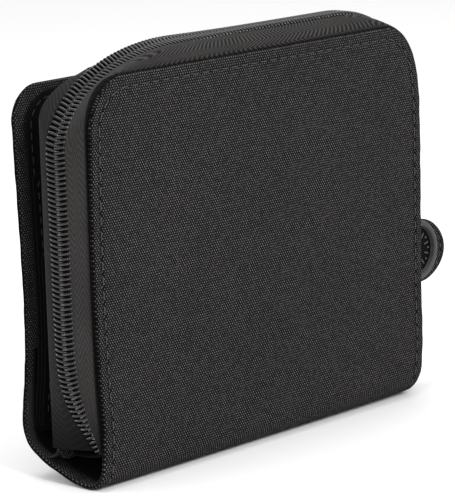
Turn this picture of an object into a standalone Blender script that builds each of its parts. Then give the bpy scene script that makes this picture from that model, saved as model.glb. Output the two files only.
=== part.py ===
"""Passport holder wallet, standing upright on its fabric spine.

Frame: metres, +Z up. X runs along the spine, the closure tab is on the +X side.
The zipped compartment's front panel faces -Y and the back cover faces +Y. The
origin is on the flat underside of the spine.

Bodies: the compartment (spine, divider wall, rear half of the zip) is fixed. The
front panel carries the front half of the zip and folds forward about the spine's
front edge. The back cover folds back about the spine's rear edge. The closure tab
bends in two links about upright axes. The zip slider runs up the right side with
its pull hanging from it.
"""

import math

import bmesh
import bpy
from mathutils import Vector

MM = 0.001

# ---- overall sizes, mm ----
PANEL_HW = 69.5  # half width of the front panel
PANEL_TOP = 111.5  # top edge of the front panel
PANEL_R = 14.0  # its upper corner radius
FRONT_Y = -16.0  # outer face of the front panel
BACK_Y = 15.0  # outer face of the back cover
COVER_HW = 68.5  # half width of the back cover
COVER_TOP = 107.4
COVER_R = 10.0
FABRIC = 1.0  # outer fabric with its backing
LINING = 0.5
BOARD = 0.8  # stiffener board
GAP = 0.3  # clearance between neighbouring layers

# ---- hinge lines of the two covers, (y, z) ----
FRONT_HINGE = (-15.5, 7.5)
BACK_HINGE = (14.5, 9.5)

# ---- zip ----
COIL_R = 1.3
CHAIN_GAP = 1.3  # free space between the two coils, for the slider's neck
COIL_OFF = CHAIN_GAP / 2 + COIL_R  # each coil's axis from the chain's middle
CHAIN_Y = -4.8
CHAIN_HW = 71.6  # half width of the chain's run
CHAIN_TOP = 115.4
CHAIN_R = 24.0
TAPE = 0.8
TAPE_FRONT_Y = -12.4  # edge sewn to the front panel
TAPE_REAR_Y = 1.0  # edge sewn to the divider
LEFT_STRAIGHT_Z = 46.0  # the left run bends forward below this
LEFT_END_Z = 19.0
RIGHT_END_Z = 18.0

# ---- divider wall between the zipped compartment and the passport fold ----
DIV_Y0, DIV_Y1 = 1.7, 2.6
DIV_HW = 70.0
DIV_TOP = 112.6
DIV_R = 21.0

# ---- slider and pull ----
SLIDER_Z = 24.0
SLIDER_L = 9.0
SLIDER_W = 7.2
PULL_L = 19.0
PULL_W = 5.6

# ---- closure tab ----
TAB_Y = 4.4
TAB_T = 1.4
TAB_Z = 38.5
TAB_HALF = 9.75
TAB_AXIS_X = 70.9
TAB_MID_X = 79.2
SNAP_X = 87.3
SNAP_R = 9.0
STUD_X = 62.0

SEG = 6  # straight pieces in each quarter round corner


# ------------------------------------------------------------------ scene
for ob in list(bpy.data.objects):
    bpy.data.objects.remove(ob, do_unlink=True)

parts = bpy.data.collections.new("passport_wallet")
cutters = bpy.data.collections.new("passport_wallet_cutters")
bpy.context.scene.collection.children.link(parts)
bpy.context.scene.collection.children.link(cutters)


def material(name, colour, rough, metal=0.0):
    m = bpy.data.materials.new(name)
    m.use_nodes = True
    p = m.node_tree.nodes["Principled BSDF"]
    p.inputs["Base Color"].default_value = (*colour, 1.0)
    p.inputs["Roughness"].default_value = rough
    p.inputs["Metallic"].default_value = metal
    return m


def holder(name, x, y, z):
    e = bpy.data.objects.new(name, None)
    e.location = (x * MM, y * MM, z * MM)
    e.empty_display_size = 0.01
    parts.objects.link(e)
    return e


HOLD = {
    "front": holder("front_panel_axis", 0, *FRONT_HINGE),
    "back": holder("back_cover_axis", 0, *BACK_HINGE),
    "tab": holder("closure_tab_axis", TAB_AXIS_X, TAB_Y, TAB_Z),
    "tab_end": holder("closure_tab_end_axis", TAB_MID_X, TAB_Y, TAB_Z),
    "slider": holder("slider_axis", CHAIN_HW, CHAIN_Y, SLIDER_Z),
    "pull": holder("pull_axis", CHAIN_HW + 3.9, CHAIN_Y, SLIDER_Z),
}


def place(ob, at=(0, 0, 0), hold=None):
    """Put an object at a world point, under the holder of its body."""
    x, y, z = at
    p = Vector((x * MM, y * MM, z * MM))
    if hold:
        ob.parent = HOLD[hold]
        p = p - HOLD[hold].location
    ob.location = p
    return ob


def finish(ob, colour, rough, metal=0.0):
    ob.data.materials.clear()
    ob.data.materials.append(material("mat_" + ob.name, colour, rough, metal))
    return ob


def rounded(hw, z0, z1, r_top, r_bot=0.0, cx=0.0):
    """Outline in (x, z): a rectangle with round corners, anticlockwise."""
    pts = []
    corners = [
        (cx + hw - r_bot, z0 + r_bot, r_bot, -90),
        (cx + hw - r_top, z1 - r_top, r_top, 0),
        (cx - hw + r_top, z1 - r_top, r_top, 90),
        (cx - hw + r_bot, z0 + r_bot, r_bot, 180),
    ]
    for x, z, r, a0 in corners:
        if r < 0.01:
            pts.append((x, z))
            continue
        for i in range(SEG + 1):
            a = math.radians(a0 + 90 * i / SEG)
            pts.append((x + r * math.cos(a), z + r * math.sin(a)))
    return pts


def circle(cx, cz, r, n=16):
    return [
        (cx + r * math.cos(2 * math.pi * i / n), cz + r * math.sin(2 * math.pi * i / n))
        for i in range(n)
    ]


def plate(name, loops, thick, hold=None, at=(0, 0, 0), facing="Y"):
    """A flat outline in its own plane, with holes, given its thickness.
    facing Y: outline (x, z), thickness along Y. facing X: outline (y, z),
    thickness along X. facing Z: outline (x, y), thickness along Z."""
    cu = bpy.data.curves.new(name, "CURVE")
    cu.dimensions = "2D"
    cu.fill_mode = "BOTH"
    cu.extrude = thick / 2 * MM
    for loop in loops:
        sp = cu.splines.new("POLY")
        sp.points.add(len(loop) - 1)
        for p, (u, v) in zip(sp.points, loop):
            p.co = (u * MM, v * MM, 0, 1)
        sp.use_cyclic_u = True
    ob = bpy.data.objects.new(name, cu)
    if facing == "Y":
        ob.rotation_euler = (math.pi / 2, 0, 0)
    elif facing == "X":
        ob.rotation_euler = (math.pi / 2, 0, math.pi / 2)
    parts.objects.link(ob)
    return place(ob, at, hold)


def layer(name, y0, y1, hw, z0, z1, r_top, r_bot=0.0, hold=None, holes=()):
    """A flat sheet of the wallet between the depths y0 and y1."""
    loops = [rounded(hw, z0, z1, r_top, r_bot)] + [list(h) for h in holes]
    return plate(name, loops, y1 - y0, hold, (0, (y0 + y1) / 2, 0))


# ------------------------------------------------------------------ zip path
def left_chain(z):
    """Depth and half width of the chain's middle on the left run at height z:
    it bends forward and inward to tuck behind the front panel."""
    if z >= LEFT_STRAIGHT_Z:
        return CHAIN_Y, CHAIN_HW
    d = LEFT_STRAIGHT_Z - z
    y = CHAIN_Y - 0.0041 * d**2.23
    w = CHAIN_HW - 4.0 * max(0.0, (34.0 - z) / 15.0) ** 1.5
    return y, w


def run(hw, top, r, z_left, z_right, n_left=7):
    """Stations along the zip's run, seen from the front: up the left side, round
    both upper corners and down the right. Each is (x, z, side), side being the
    height on the left run where the chain may bend, or None elsewhere."""
    st = []
    for i in range(n_left):
        z = z_left + (LEFT_STRAIGHT_Z - z_left) * i / (n_left - 1)
        st.append((-hw, z, z))
    st.append((-hw, (LEFT_STRAIGHT_Z + top - r) / 2, None))
    for i in range(SEG + 1):
        a = math.radians(180 - 90 * i / SEG)
        st.append((-hw + r + r * math.cos(a), top - r + r * math.sin(a), None))
    for i in range(1, 4):
        st.append((-hw + r + (2 * hw - 2 * r) * i / 4, top, None))
    for i in range(SEG + 1):
        a = math.radians(90 - 90 * i / SEG)
        st.append((hw - r + r * math.cos(a), top - r + r * math.sin(a), None))
    st.append((hw, (z_right + top - r) / 2, None))
    st.append((hw, z_right, None))
    return st


def coil(name, side, hold):
    """One coil of the zip, as a round cord along its run; side -1 is the front
    half, +1 the rear half."""
    pts = []
    stations = run(CHAIN_HW, CHAIN_TOP, CHAIN_R, LEFT_END_Z, RIGHT_END_Z)
    for x, z, low in stations:
        if low is None:
            pts.append((x, CHAIN_Y + side * COIL_OFF, z))
            continue
        y, w = left_chain(z)
        y2, _ = left_chain(z + 0.5)
        t = Vector((y2 - y, 0.5)).normalized()  # along the run, in (y, z)
        n = Vector((t[1], -t[0]))  # towards the rear and down
        pts.append((-w, y + side * COIL_OFF * n[0], z + side * COIL_OFF * n[1]))
    cu = bpy.data.curves.new(name, "CURVE")
    cu.dimensions = "3D"
    cu.bevel_depth = COIL_R * MM
    cu.bevel_resolution = 2
    cu.use_fill_caps = True
    sp = cu.splines.new("POLY")
    sp.points.add(len(pts) - 1)
    origin = HOLD[hold].location if hold else Vector((0, 0, 0))
    for p, q in zip(sp.points, pts):
        v = Vector(q) * MM - origin
        p.co = (*v, 1)
    ob = bpy.data.objects.new(name, cu)
    parts.objects.link(ob)
    if hold:
        ob.parent = HOLD[hold]
    return ob


def tape(name, front, hold):
    """The zip tape between a sewn edge and its coil, a band that follows the run
    and leans out to the chain. Rows go from the sewn edge to the coil."""
    rows = []
    z_left = 28.5 if front else 19.5
    edge_y = TAPE_FRONT_Y if front else TAPE_REAR_Y
    near = COIL_OFF + COIL_R + GAP
    for t in (0.0, 0.5, 1.0):
        lean = math.sin(t * math.pi / 2)
        hw = (69.0 if front else 69.8) + (CHAIN_HW - (69.0 if front else 69.8)) * lean
        top0 = 110.8 if front else 112.2
        top = top0 + (CHAIN_TOP - top0) * lean
        r = PANEL_R + (CHAIN_R - PANEL_R) * lean
        row = []
        for x, z, low in run(hw, top, r, z_left, RIGHT_END_Z - 2.0):
            y_c, w = left_chain(z) if low is not None else (CHAIN_Y, None)
            reach = near
            if low is not None:
                y_up, _ = left_chain(z + 0.5)
                reach = near * math.hypot(0.5, y_up - y_c) / 0.5 + 0.1
            y_near = y_c - reach if front else y_c + reach
            if front:
                y_near = max(y_near, edge_y + 0.6)
            if w is not None:
                x = x + (CHAIN_HW - w) * t  # the low left end turns inward
            row.append((x, edge_y + (y_near - edge_y) * t, z))
        rows.append(row)
    me = bpy.data.meshes.new(name)
    bm = bmesh.new()
    origin = HOLD[hold].location if hold else Vector((0, 0, 0))
    grid = [[bm.verts.new(Vector(p) * MM - origin) for p in row] for row in rows]
    for a, b in zip(grid, grid[1:]):
        for i in range(len(a) - 1):
            bm.faces.new((a[i], a[i + 1], b[i + 1], b[i]))
    bmesh.ops.recalc_face_normals(bm, faces=bm.faces)
    bm.to_mesh(me)
    bm.free()
    ob = bpy.data.objects.new(name, me)
    parts.objects.link(ob)
    if hold:
        ob.parent = HOLD[hold]
    so = ob.modifiers.new("thickness", "SOLIDIFY")
    so.thickness = TAPE * MM
    so.offset = 0.0
    return ob


def channel(name, profile, half_len, thick):
    """A folded strip along X: an open profile in (y, z), given its thickness."""
    me = bpy.data.meshes.new(name)
    bm = bmesh.new()
    left = [bm.verts.new((-half_len * MM, y * MM, z * MM)) for y, z in profile]
    right = [bm.verts.new((half_len * MM, y * MM, z * MM)) for y, z in profile]
    for i in range(len(profile) - 1):
        bm.faces.new((left[i], left[i + 1], right[i + 1], right[i]))
    bmesh.ops.recalc_face_normals(bm, faces=bm.faces)
    bm.to_mesh(me)
    bm.free()
    ob = bpy.data.objects.new(name, me)
    parts.objects.link(ob)
    so = ob.modifiers.new("thickness", "SOLIDIFY")
    so.thickness = thick * MM
    so.offset = 0.0
    so.use_even_offset = True
    return ob


def box(name, lo, hi, hold=None, bevel=0.0, collection=None):
    """A box between two world corners."""
    c = [(a + b) / 2 for a, b in zip(lo, hi)]
    me = bpy.data.meshes.new(name)
    bm = bmesh.new()
    bmesh.ops.create_cube(bm, size=1.0)
    for v in bm.verts:
        v.co = Vector([v.co[i] * (hi[i] - lo[i]) * MM for i in range(3)])
    bm.to_mesh(me)
    bm.free()
    ob = bpy.data.objects.new(name, me)
    (collection or parts).objects.link(ob)
    place(ob, c, hold)
    if bevel:
        b = ob.modifiers.new("edges", "BEVEL")
        b.width = bevel * MM
        b.segments = 2
    return ob


def turned(name, profile, hold, at, steps=24, toward=-1):
    """A piece turned about the Y axis. The profile lists (radius, depth), depth
    running from the piece's outer end inwards; toward -1 puts the outer end to
    the front."""
    me = bpy.data.meshes.new(name)
    bm = bmesh.new()
    vs = [bm.verts.new((r * MM, 0, -d * MM)) for r, d in profile]
    for a, b in zip(vs, vs[1:]):
        bm.edges.new((a, b))
    bm.to_mesh(me)
    bm.free()
    ob = bpy.data.objects.new(name, me)
    parts.objects.link(ob)
    sc = ob.modifiers.new("turn", "SCREW")
    sc.axis = "Z"
    sc.steps = steps
    sc.render_steps = steps
    sc.use_merge_vertices = True
    sc.merge_threshold = 0.00001
    sc.use_smooth_shade = True
    ob.rotation_euler = (math.pi / 2 if toward < 0 else -math.pi / 2, 0, 0)
    return place(ob, at, hold)


# ------------------------------------------------------------------ materials
BLACK = (0.035, 0.034, 0.036)
CHARCOAL = (0.05, 0.049, 0.05)
DEEP = (0.02, 0.02, 0.021)
GLOSS = (0.03, 0.03, 0.03)
BOARD_C = (0.22, 0.21, 0.19)
METAL = (0.35, 0.35, 0.36)


# ------------------------------------------------------------------ front panel
finish(
    layer("front_outer_fabric", FRONT_Y, FRONT_Y + FABRIC, PANEL_HW, 8.5, PANEL_TOP, PANEL_R, 3.0, "front"),
    BLACK, 0.85,
)
finish(
    layer("front_stiffener_board", -14.7, -13.9, PANEL_HW - 5, 11.0, PANEL_TOP - 4, 10.0, 4.0, "front"),
    BOARD_C, 0.9,
)
finish(
    layer("front_lining", -13.6, -13.1, PANEL_HW - 3.5, 10.0, PANEL_TOP - 2.5, 11.0, 3.0, "front"),
    DEEP, 0.8,
)
finish(tape("front_zip_tape", True, "front"), CHARCOAL, 0.8)
finish(coil("front_zip_coil", -1, "front"), GLOSS, 0.3)

# ------------------------------------------------------------------ compartment
# The outer fabric under the wallet: a flat foot with a rolled edge up to each cover.
spine = [
    (-15.5, 6.6), (-15.2, 4.6), (-14.4, 2.6), (-12.9, 1.1), (-10.8, 0.5),
    (5.5, 0.5), (8.2, 1.1), (10.8, 2.6), (13.0, 5.2), (14.3, 8.4),
]
finish(channel("spine_outer_fabric", spine, 66.0, FABRIC), BLACK, 0.85)
finish(
    layer("divider_outer_fabric", DIV_Y0, DIV_Y1, DIV_HW, 1.4, DIV_TOP, DIV_R, 3.0),
    BLACK, 0.85,
)
finish(
    layer("divider_stiffener_board", 0.55, 1.35, DIV_HW - 3.0, 6.4, DIV_TOP - 3.5, 12.0, 3.0),
    BOARD_C, 0.9,
)
finish(
    layer("divider_lining", -0.25, 0.25, DIV_HW - 2.6, 6.4, DIV_TOP - 3.0, 12.0, 3.0),
    DEEP, 0.8,
)
finish(
    box("compartment_floor_lining", (-66.0, -12.6, 5.2), (66.0, -0.6, 5.8)),
    DEEP, 0.8,
)
finish(
    box("passport_fold_lining", (-66.0, 2.9, 4.2), (66.0, 9.4, 4.8)),
    DEEP, 0.8,
)
finish(tape("rear_zip_tape", False, None), CHARCOAL, 0.8)
finish(coil("rear_zip_coil", +1, None), GLOSS, 0.3)
finish(
    box("zip_stop_right", (CHAIN_HW - 1.2, CHAIN_Y - 2.6, RIGHT_END_Z - 3.6), (CHAIN_HW + 1.2, CHAIN_Y + 2.6, RIGHT_END_Z - 0.4), None, 0.4),
    METAL, 0.4, 0.9,
)
_y, _w = left_chain(LEFT_END_Z)
finish(
    box("zip_stop_left", (-_w - 1.0, _y - 1.6, LEFT_END_Z - 5.2), (-_w + 1.0, _y + 0.8, LEFT_END_Z - 2.6), None, 0.4),
    METAL, 0.4, 0.9,
)

# ------------------------------------------------------------------ back cover
stud_hole = circle(STUD_X, TAB_Z, 2.1)
finish(
    layer("cover_outer_fabric", BACK_Y - FABRIC, BACK_Y, COVER_HW, 10.5, COVER_TOP, COVER_R, 3.0, "back", [stud_hole]),
    BLACK, 0.85,
)
finish(
    layer("cover_stiffener_board", 12.9, 13.7, COVER_HW - 4, 13.0, COVER_TOP - 4, 7.0, 4.0, "back", [stud_hole]),
    BOARD_C, 0.9,
)
finish(
    layer("cover_lining", 11.3, 11.8, COVER_HW - 1.0, 11.5, COVER_TOP - 1.0, 9.0, 3.0, "back"),
    DEEP, 0.8,
)
finish(
    layer("card_pocket_rear", 10.5, 11.0, COVER_HW - 1.0, 11.5, 84.0, 2.0, 3.0, "back"),
    DEEP, 0.8,
)
finish(
    layer("card_pocket_front", 9.7, 10.2, COVER_HW - 1.0, 11.5, 62.0, 2.0, 3.0, "back"),
    DEEP, 0.8,
)
# Press stud on the cover's outer face: ball, flange and the post through the cover,
# clinched over a washer behind the board.
finish(
    turned(
        "snap_stud",
        [(0.0, 0.0), (1.6, 0.1), (2.3, 0.7), (2.2, 1.4), (1.7, 1.9), (5.2, 2.1), (5.4, 2.6), (1.7, 2.8), (1.7, 5.6), (0.0, 5.6)],
        "back", (STUD_X, BACK_Y + 3.1, TAB_Z), 20, +1,
    ),
    METAL, 0.35, 1.0,
)
finish(
    plate("snap_stud_washer", [circle(STUD_X, TAB_Z, 4.2), circle(STUD_X, TAB_Z, 2.1)], 0.35, "back", (0, 12.4, 0)),
    METAL, 0.4, 1.0,
)

# ------------------------------------------------------------------ closure tab
finish(
    box("tab_anchor", (52.0, TAB_Y - 1.4, TAB_Z - TAB_HALF), (TAB_AXIS_X - 0.5, TAB_Y, TAB_Z + TAB_HALF)),
    BLACK, 0.85,
)
finish(
    box("tab_root_fabric", (TAB_AXIS_X + 0.5, TAB_Y - TAB_T / 2, TAB_Z - TAB_HALF), (TAB_MID_X - 0.9, TAB_Y + TAB_T / 2, TAB_Z + TAB_HALF), "tab"),
    BLACK, 0.85,
)


def tab_end_outline():
    """Square at the fold, half round at the free end, which reaches 3 mm past the
    snap's rim."""
    pts = [(TAB_MID_X + 0.9, TAB_Z - TAB_HALF)]
    cx = SNAP_X + 3.0
    n = 14
    for i in range(n + 1):
        a = math.radians(-90 + 180 * i / n)
        pts.append((cx + TAB_HALF * math.cos(a), TAB_Z + TAB_HALF * math.sin(a)))
    pts.append((TAB_MID_X + 0.9, TAB_Z + TAB_HALF))
    return pts


finish(
    plate("tab_end_fabric", [tab_end_outline(), circle(SNAP_X, TAB_Z, 2.1)], TAB_T, "tab_end", (0, TAB_Y, 0)),
    BLACK, 0.85,
)
# Snap cap: a shallow dish with a raised rim, its post going through the tab.
finish(
    turned(
        "snap_cap",
        [
            (0.0, 1.0), (7.0, 1.0), (7.4, 0.9), (7.6, 0.1), (7.9, 0.0), (8.5, 0.0), (8.9, 0.3), (SNAP_R, 0.9),
            (8.9, 1.9), (8.3, 2.4), (1.7, 2.5), (1.7, 4.9), (0.0, 4.9),
        ],
        "tab_end", (SNAP_X, TAB_Y - TAB_T / 2 - GAP - 2.5, TAB_Z), 32, -1,
    ),
    GLOSS, 0.35,
)
# Socket ring on the tab's inner face, which takes the stud's ball.
finish(
    plate("snap_socket", [circle(SNAP_X, TAB_Z, 5.4, 20), circle(SNAP_X, TAB_Z, 2.5, 16)], 1.4, "tab_end", (0, TAB_Y + TAB_T / 2 + GAP + 0.7, 0)),
    METAL, 0.35, 1.0,
)

# ------------------------------------------------------------------ slider
sx = CHAIN_HW
outer = box(
    "slider_body",
    (sx + 1.6, CHAIN_Y - SLIDER_W / 2, SLIDER_Z - SLIDER_L / 2),
    (sx + 2.8, CHAIN_Y + SLIDER_W / 2, SLIDER_Z + SLIDER_L / 2),
    "slider",
)
neck = box(
    "slider_neck",
    (sx - 2.4, CHAIN_Y - 0.35, SLIDER_Z - SLIDER_L / 2 + 0.2),
    (sx + 2.2, CHAIN_Y + 0.35, SLIDER_Z - SLIDER_L / 2 + 3.2),
    None, 0.0, cutters,
)
inner = box(
    "slider_back_plate",
    (sx - 2.8, CHAIN_Y - SLIDER_W / 2 + 0.2, SLIDER_Z - SLIDER_L / 2 + 0.1),
    (sx - 1.6, CHAIN_Y + SLIDER_W / 2 - 0.2, SLIDER_Z + SLIDER_L / 2 - 0.1),
    None, 0.0, cutters,
)
for tool in (neck, inner):
    tool.hide_render = True
    tool.display_type = "WIRE"
    j = outer.modifiers.new("join_" + tool.name, "BOOLEAN")
    j.operation = "UNION"
    j.solver = "EXACT"
    j.object = tool
finish(outer, METAL, 0.35, 0.9)


# Bail: an arch on the slider's face, seen from the side in (x, z).
def arch():
    a = [(3.1, -3.6), (4.4, -3.6), (6.2, -2.6), (6.2, 2.6), (4.4, 3.6), (3.1, 3.6)]
    b = [(3.1, 2.4), (4.2, 2.4), (5.0, 1.9), (5.0, -1.9), (4.2, -2.4), (3.1, -2.4)]
    return [(sx + x, SLIDER_Z + z) for x, z in a + b]


finish(plate("slider_bail", [arch()], 1.6, "slider", (0, CHAIN_Y, 0)), METAL, 0.35, 0.9)

# Pull: a flat tongue with a slot at its head; the bar above the slot turns under
# the bail.
hw = PULL_W / 2
pull_outline = [
    (CHAIN_Y - hw + 0.6, SLIDER_Z + 0.65), (CHAIN_Y - hw, SLIDER_Z + 0.1), (CHAIN_Y - hw, SLIDER_Z - 6.5),
    (CHAIN_Y - hw + 0.7, SLIDER_Z - 9.0), (CHAIN_Y - hw + 0.2, SLIDER_Z - 12.0), (CHAIN_Y - hw + 0.2, SLIDER_Z - PULL_L + 1.6),
    (CHAIN_Y - hw + 1.6, SLIDER_Z - PULL_L), (CHAIN_Y + hw - 1.6, SLIDER_Z - PULL_L),
    (CHAIN_Y + hw - 0.2, SLIDER_Z - PULL_L + 1.6), (CHAIN_Y + hw - 0.2, SLIDER_Z - 12.0), (CHAIN_Y + hw - 0.7, SLIDER_Z - 9.0),
    (CHAIN_Y + hw, SLIDER_Z - 6.5), (CHAIN_Y + hw, SLIDER_Z + 0.1), (CHAIN_Y + hw - 0.6, SLIDER_Z + 0.65),
]
slot = [
    (CHAIN_Y - 1.5, SLIDER_Z - 0.65), (CHAIN_Y - 1.5, SLIDER_Z - 5.8), (CHAIN_Y - 0.8, SLIDER_Z - 6.5),
    (CHAIN_Y + 0.8, SLIDER_Z - 6.5), (CHAIN_Y + 1.5, SLIDER_Z - 5.8), (CHAIN_Y + 1.5, SLIDER_Z - 0.65),
]
finish(plate("zip_pull", [pull_outline, slot], 1.0, "pull", (sx + 3.9, 0, 0), "X"), METAL, 0.35, 0.9)

bpy.context.view_layer.update()
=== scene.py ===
import math

import bmesh
import bpy
import numpy as np
from mathutils import Matrix, Vector


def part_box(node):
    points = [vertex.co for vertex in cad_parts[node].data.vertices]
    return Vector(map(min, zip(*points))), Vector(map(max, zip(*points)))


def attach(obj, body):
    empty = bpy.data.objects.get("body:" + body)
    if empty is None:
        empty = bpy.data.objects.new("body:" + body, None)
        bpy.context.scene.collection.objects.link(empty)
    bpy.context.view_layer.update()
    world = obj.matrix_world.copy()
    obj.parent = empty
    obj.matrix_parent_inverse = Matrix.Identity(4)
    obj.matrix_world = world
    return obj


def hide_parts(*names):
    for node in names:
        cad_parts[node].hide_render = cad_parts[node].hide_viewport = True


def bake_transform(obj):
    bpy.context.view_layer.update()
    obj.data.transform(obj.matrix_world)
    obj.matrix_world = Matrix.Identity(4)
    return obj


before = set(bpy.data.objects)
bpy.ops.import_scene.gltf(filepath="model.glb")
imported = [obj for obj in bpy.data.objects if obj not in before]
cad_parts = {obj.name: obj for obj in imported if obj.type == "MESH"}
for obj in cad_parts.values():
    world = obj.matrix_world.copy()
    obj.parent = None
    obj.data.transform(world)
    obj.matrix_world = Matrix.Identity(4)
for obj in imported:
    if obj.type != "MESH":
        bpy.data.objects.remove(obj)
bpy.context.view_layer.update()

MM = 0.001

# Everything below is worked out in millimetres in the part's own frame.
SPINE_LO, SPINE_HI = [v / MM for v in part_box("spine_outer_fabric")]
PANEL_LO, PANEL_HI = [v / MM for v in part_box("front_outer_fabric")]
COVER_LO, COVER_HI = [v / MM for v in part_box("cover_outer_fabric")]
DIV_LO, DIV_HI = [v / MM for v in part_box("divider_outer_fabric")]
CAP_LO, CAP_HI = [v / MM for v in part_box("snap_cap")]
STUD_LO, STUD_HI = [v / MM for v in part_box("snap_stud")]

FRONT_Y = PANEL_LO[1]
PANEL_TOP = PANEL_HI[2]
PANEL_HW = PANEL_HI[0]
PANEL_R = 14.0
BACK_Y = COVER_HI[1]
COVER_TOP = COVER_HI[2]
COVER_HW = COVER_HI[0]
COVER_R = 10.0
DIV_HW, DIV_TOP, DIV_R = DIV_HI[0], DIV_HI[2], 21.0
CHAIN_Y = -4.8
CHAIN_OX = 71.6 - PANEL_HW  # how far the chain stands outside the panel's outline
CHAIN_OZ = 115.4 - PANEL_TOP


# =================================================================== meshes
def build(name, verts, faces, mat, uv=None, sharp=50, merge=0.0):
    """A mesh object from points in mm. uv gives a point per vertex, in mm."""
    me = bpy.data.meshes.new(name)
    me.from_pydata([tuple(p) for p in np.asarray(verts, float) * MM], [], [tuple(int(i) for i in f) for f in faces])
    if uv is not None:
        lay = me.uv_layers.new(name="weave")
        idx = np.zeros(len(me.loops), np.int32)
        me.loops.foreach_get("vertex_index", idx)
        lay.data.foreach_set("uv", (np.asarray(uv, float)[idx] * MM).astype(np.float32).ravel())
    bm = bmesh.new()
    bm.from_mesh(me)
    if merge:
        bmesh.ops.remove_doubles(bm, verts=bm.verts, dist=merge * MM)
    bmesh.ops.dissolve_degenerate(bm, edges=bm.edges, dist=1e-7)
    bmesh.ops.recalc_face_normals(bm, faces=bm.faces)
    bm.to_mesh(me)
    bm.free()
    me.materials.append(mat)
    me.shade_smooth()
    me.set_sharp_from_angle(angle=math.radians(sharp))
    ob = bpy.data.objects.new(name, me)
    bpy.context.scene.collection.objects.link(ob)
    return ob


def slab(name, top, bot, mat, uv=None, sharp=50, merge=0.02, inner=True):
    """A closed sheet between two grids of points of the same shape. inner is off
    where the last column folds on to itself and so needs no wall."""
    nu, nv = top.shape[:2]
    verts = np.concatenate([top.reshape(-1, 3), bot.reshape(-1, 3)])
    n = nu * nv
    faces = []
    for i in range(nu - 1):
        for j in range(nv - 1):
            a, b, c, d = i * nv + j, (i + 1) * nv + j, (i + 1) * nv + j + 1, i * nv + j + 1
            faces.append((a, b, c, d))
            faces.append((n + d, n + c, n + b, n + a))
    for i in range(nu - 1):
        a, b = i * nv, (i + 1) * nv
        faces.append((b, a, n + a, n + b))
        a, b = i * nv + nv - 1, (i + 1) * nv + nv - 1
        if inner:
            faces.append((a, b, n + b, n + a))
    for j in range(nv - 1):
        a, b = j, j + 1
        faces.append((a, b, n + b, n + a))
        a, b = (nu - 1) * nv + j, (nu - 1) * nv + j + 1
        faces.append((b, a, n + a, n + b))
    if uv is not None:
        uv = np.concatenate([uv.reshape(-1, 2)] * 2)
    return build(name, verts, faces, mat, uv, sharp, merge)


def wobble(x, y, k=1.0, seed=0.0):
    """Smooth unevenness of hand-sewn fabric, about -1 to 1."""
    return (
        0.42 * np.sin(0.061 * k * x + 0.043 * k * y + 1.3 + seed)
        + 0.3 * np.sin(0.113 * k * x - 0.089 * k * y + 4.1 + 2.1 * seed)
        + 0.18 * np.sin(0.231 * k * x + 0.197 * k * y + 2.2 + 0.7 * seed)
        + 0.1 * np.sin(-0.39 * k * x + 0.45 * k * y + 0.4 + 1.9 * seed)
    )


def rings(hw, r0, v_end, ds, n_side=64, n_arc=12, n_top=56):
    """Insets of an outline that is open at the bottom: up the left side, round both
    upper corners and down the right. Coordinates are (x, v), v running down from
    the top edge. Gives an array [station, ring, 2]."""
    out = []
    for d in ds:
        w = max(hw - d, 0.0)
        r = min(r0 * math.exp(-d / r0), max(w - 0.001, 0.0)) if w > 0 else 0.0
        line = []
        for i in range(n_side):
            t = i / n_side
            line.append((-w, v_end + (d + r - v_end) * t))
        for i in range(n_arc + 1):
            a = math.pi - math.pi / 2 * i / n_arc
            line.append((-w + r + r * math.cos(a), d + r - r * math.sin(a)))
        for i in range(1, n_top):
            line.append((-w + r + (2 * w - 2 * r) * i / n_top, d))
        for i in range(n_arc + 1):
            a = math.pi / 2 - math.pi / 2 * i / n_arc
            line.append((w - r + r * math.cos(a), d + r - r * math.sin(a)))
        for i in range(1, n_side + 1):
            t = i / n_side
            line.append((w, d + r + (v_end - d - r) * t))
        out.append(line)
    return np.array(out).transpose(1, 0, 2)


EDGE_DS = [0.0, 0.06, 0.2, 0.45, 0.8, 1.3, 1.9, 2.4, 2.75, 3.0, 3.2, 3.35, 3.55, 3.85, 4.3, 5.0, 6.0, 7.5, 10, 13, 17, 22, 28, 34, 40, 46, 52, 58, 64]


def edge_profile(d, roll=0.8, stitch=3.2, groove=0.48):
    """Height of a turned and stitched edge at the distance d inside it."""
    h = np.where(d < roll, -roll + np.sqrt(np.maximum(roll**2 - (roll - d) ** 2, 0)), 0.0)
    h = h - groove * np.exp(-(((d - stitch) / 0.42) ** 2))
    h = h - 0.12 * np.clip((d - stitch) / 1.0, 0, 1)
    h = h + 0.3 * (1 - np.exp(-np.maximum(d - stitch, 0) / 9.0))
    return h


def tube_mesh(paths, radius, sides, normals=None, flat=1.0, taper=True):
    """Closed tubes along short point paths, as one mesh's points and faces."""
    verts, faces, uvs = [], [], []
    for k, pts in enumerate(paths):
        pts = np.asarray(pts, float)
        n = len(pts)
        tan = np.gradient(pts, axis=0)
        tan /= np.linalg.norm(tan, axis=1)[:, None] + 1e-12
        up = np.array([0.3, 0.5, 0.81]) if normals is None else np.asarray(normals[k], float)
        base = len(verts)
        s = 0.0
        for i in range(n):
            side = np.cross(tan[i], up if up.ndim == 1 else up[i])
            side /= np.linalg.norm(side) + 1e-12
            u = np.cross(side, tan[i])
            r = radius
            if taper and i in (0, n - 1):
                r = radius * 0.35
            if i:
                s += np.linalg.norm(pts[i] - pts[i - 1])
            for j in range(sides):
                a = 2 * math.pi * j / sides
                verts.append(pts[i] + side * r * math.cos(a) + u * r * flat * math.sin(a))
                uvs.append((s, j / sides * 2 * math.pi * radius))
        for i in range(n - 1):
            for j in range(sides):
                a = base + i * sides + j
                b = base + i * sides + (j + 1) % sides
                faces.append((a, b, b + sides, a + sides))
        faces.append(tuple(base + j for j in range(sides))[::-1])
        faces.append(tuple(base + (n - 1) * sides + j for j in range(sides)))
    return np.array(verts), faces, np.array(uvs)


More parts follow.
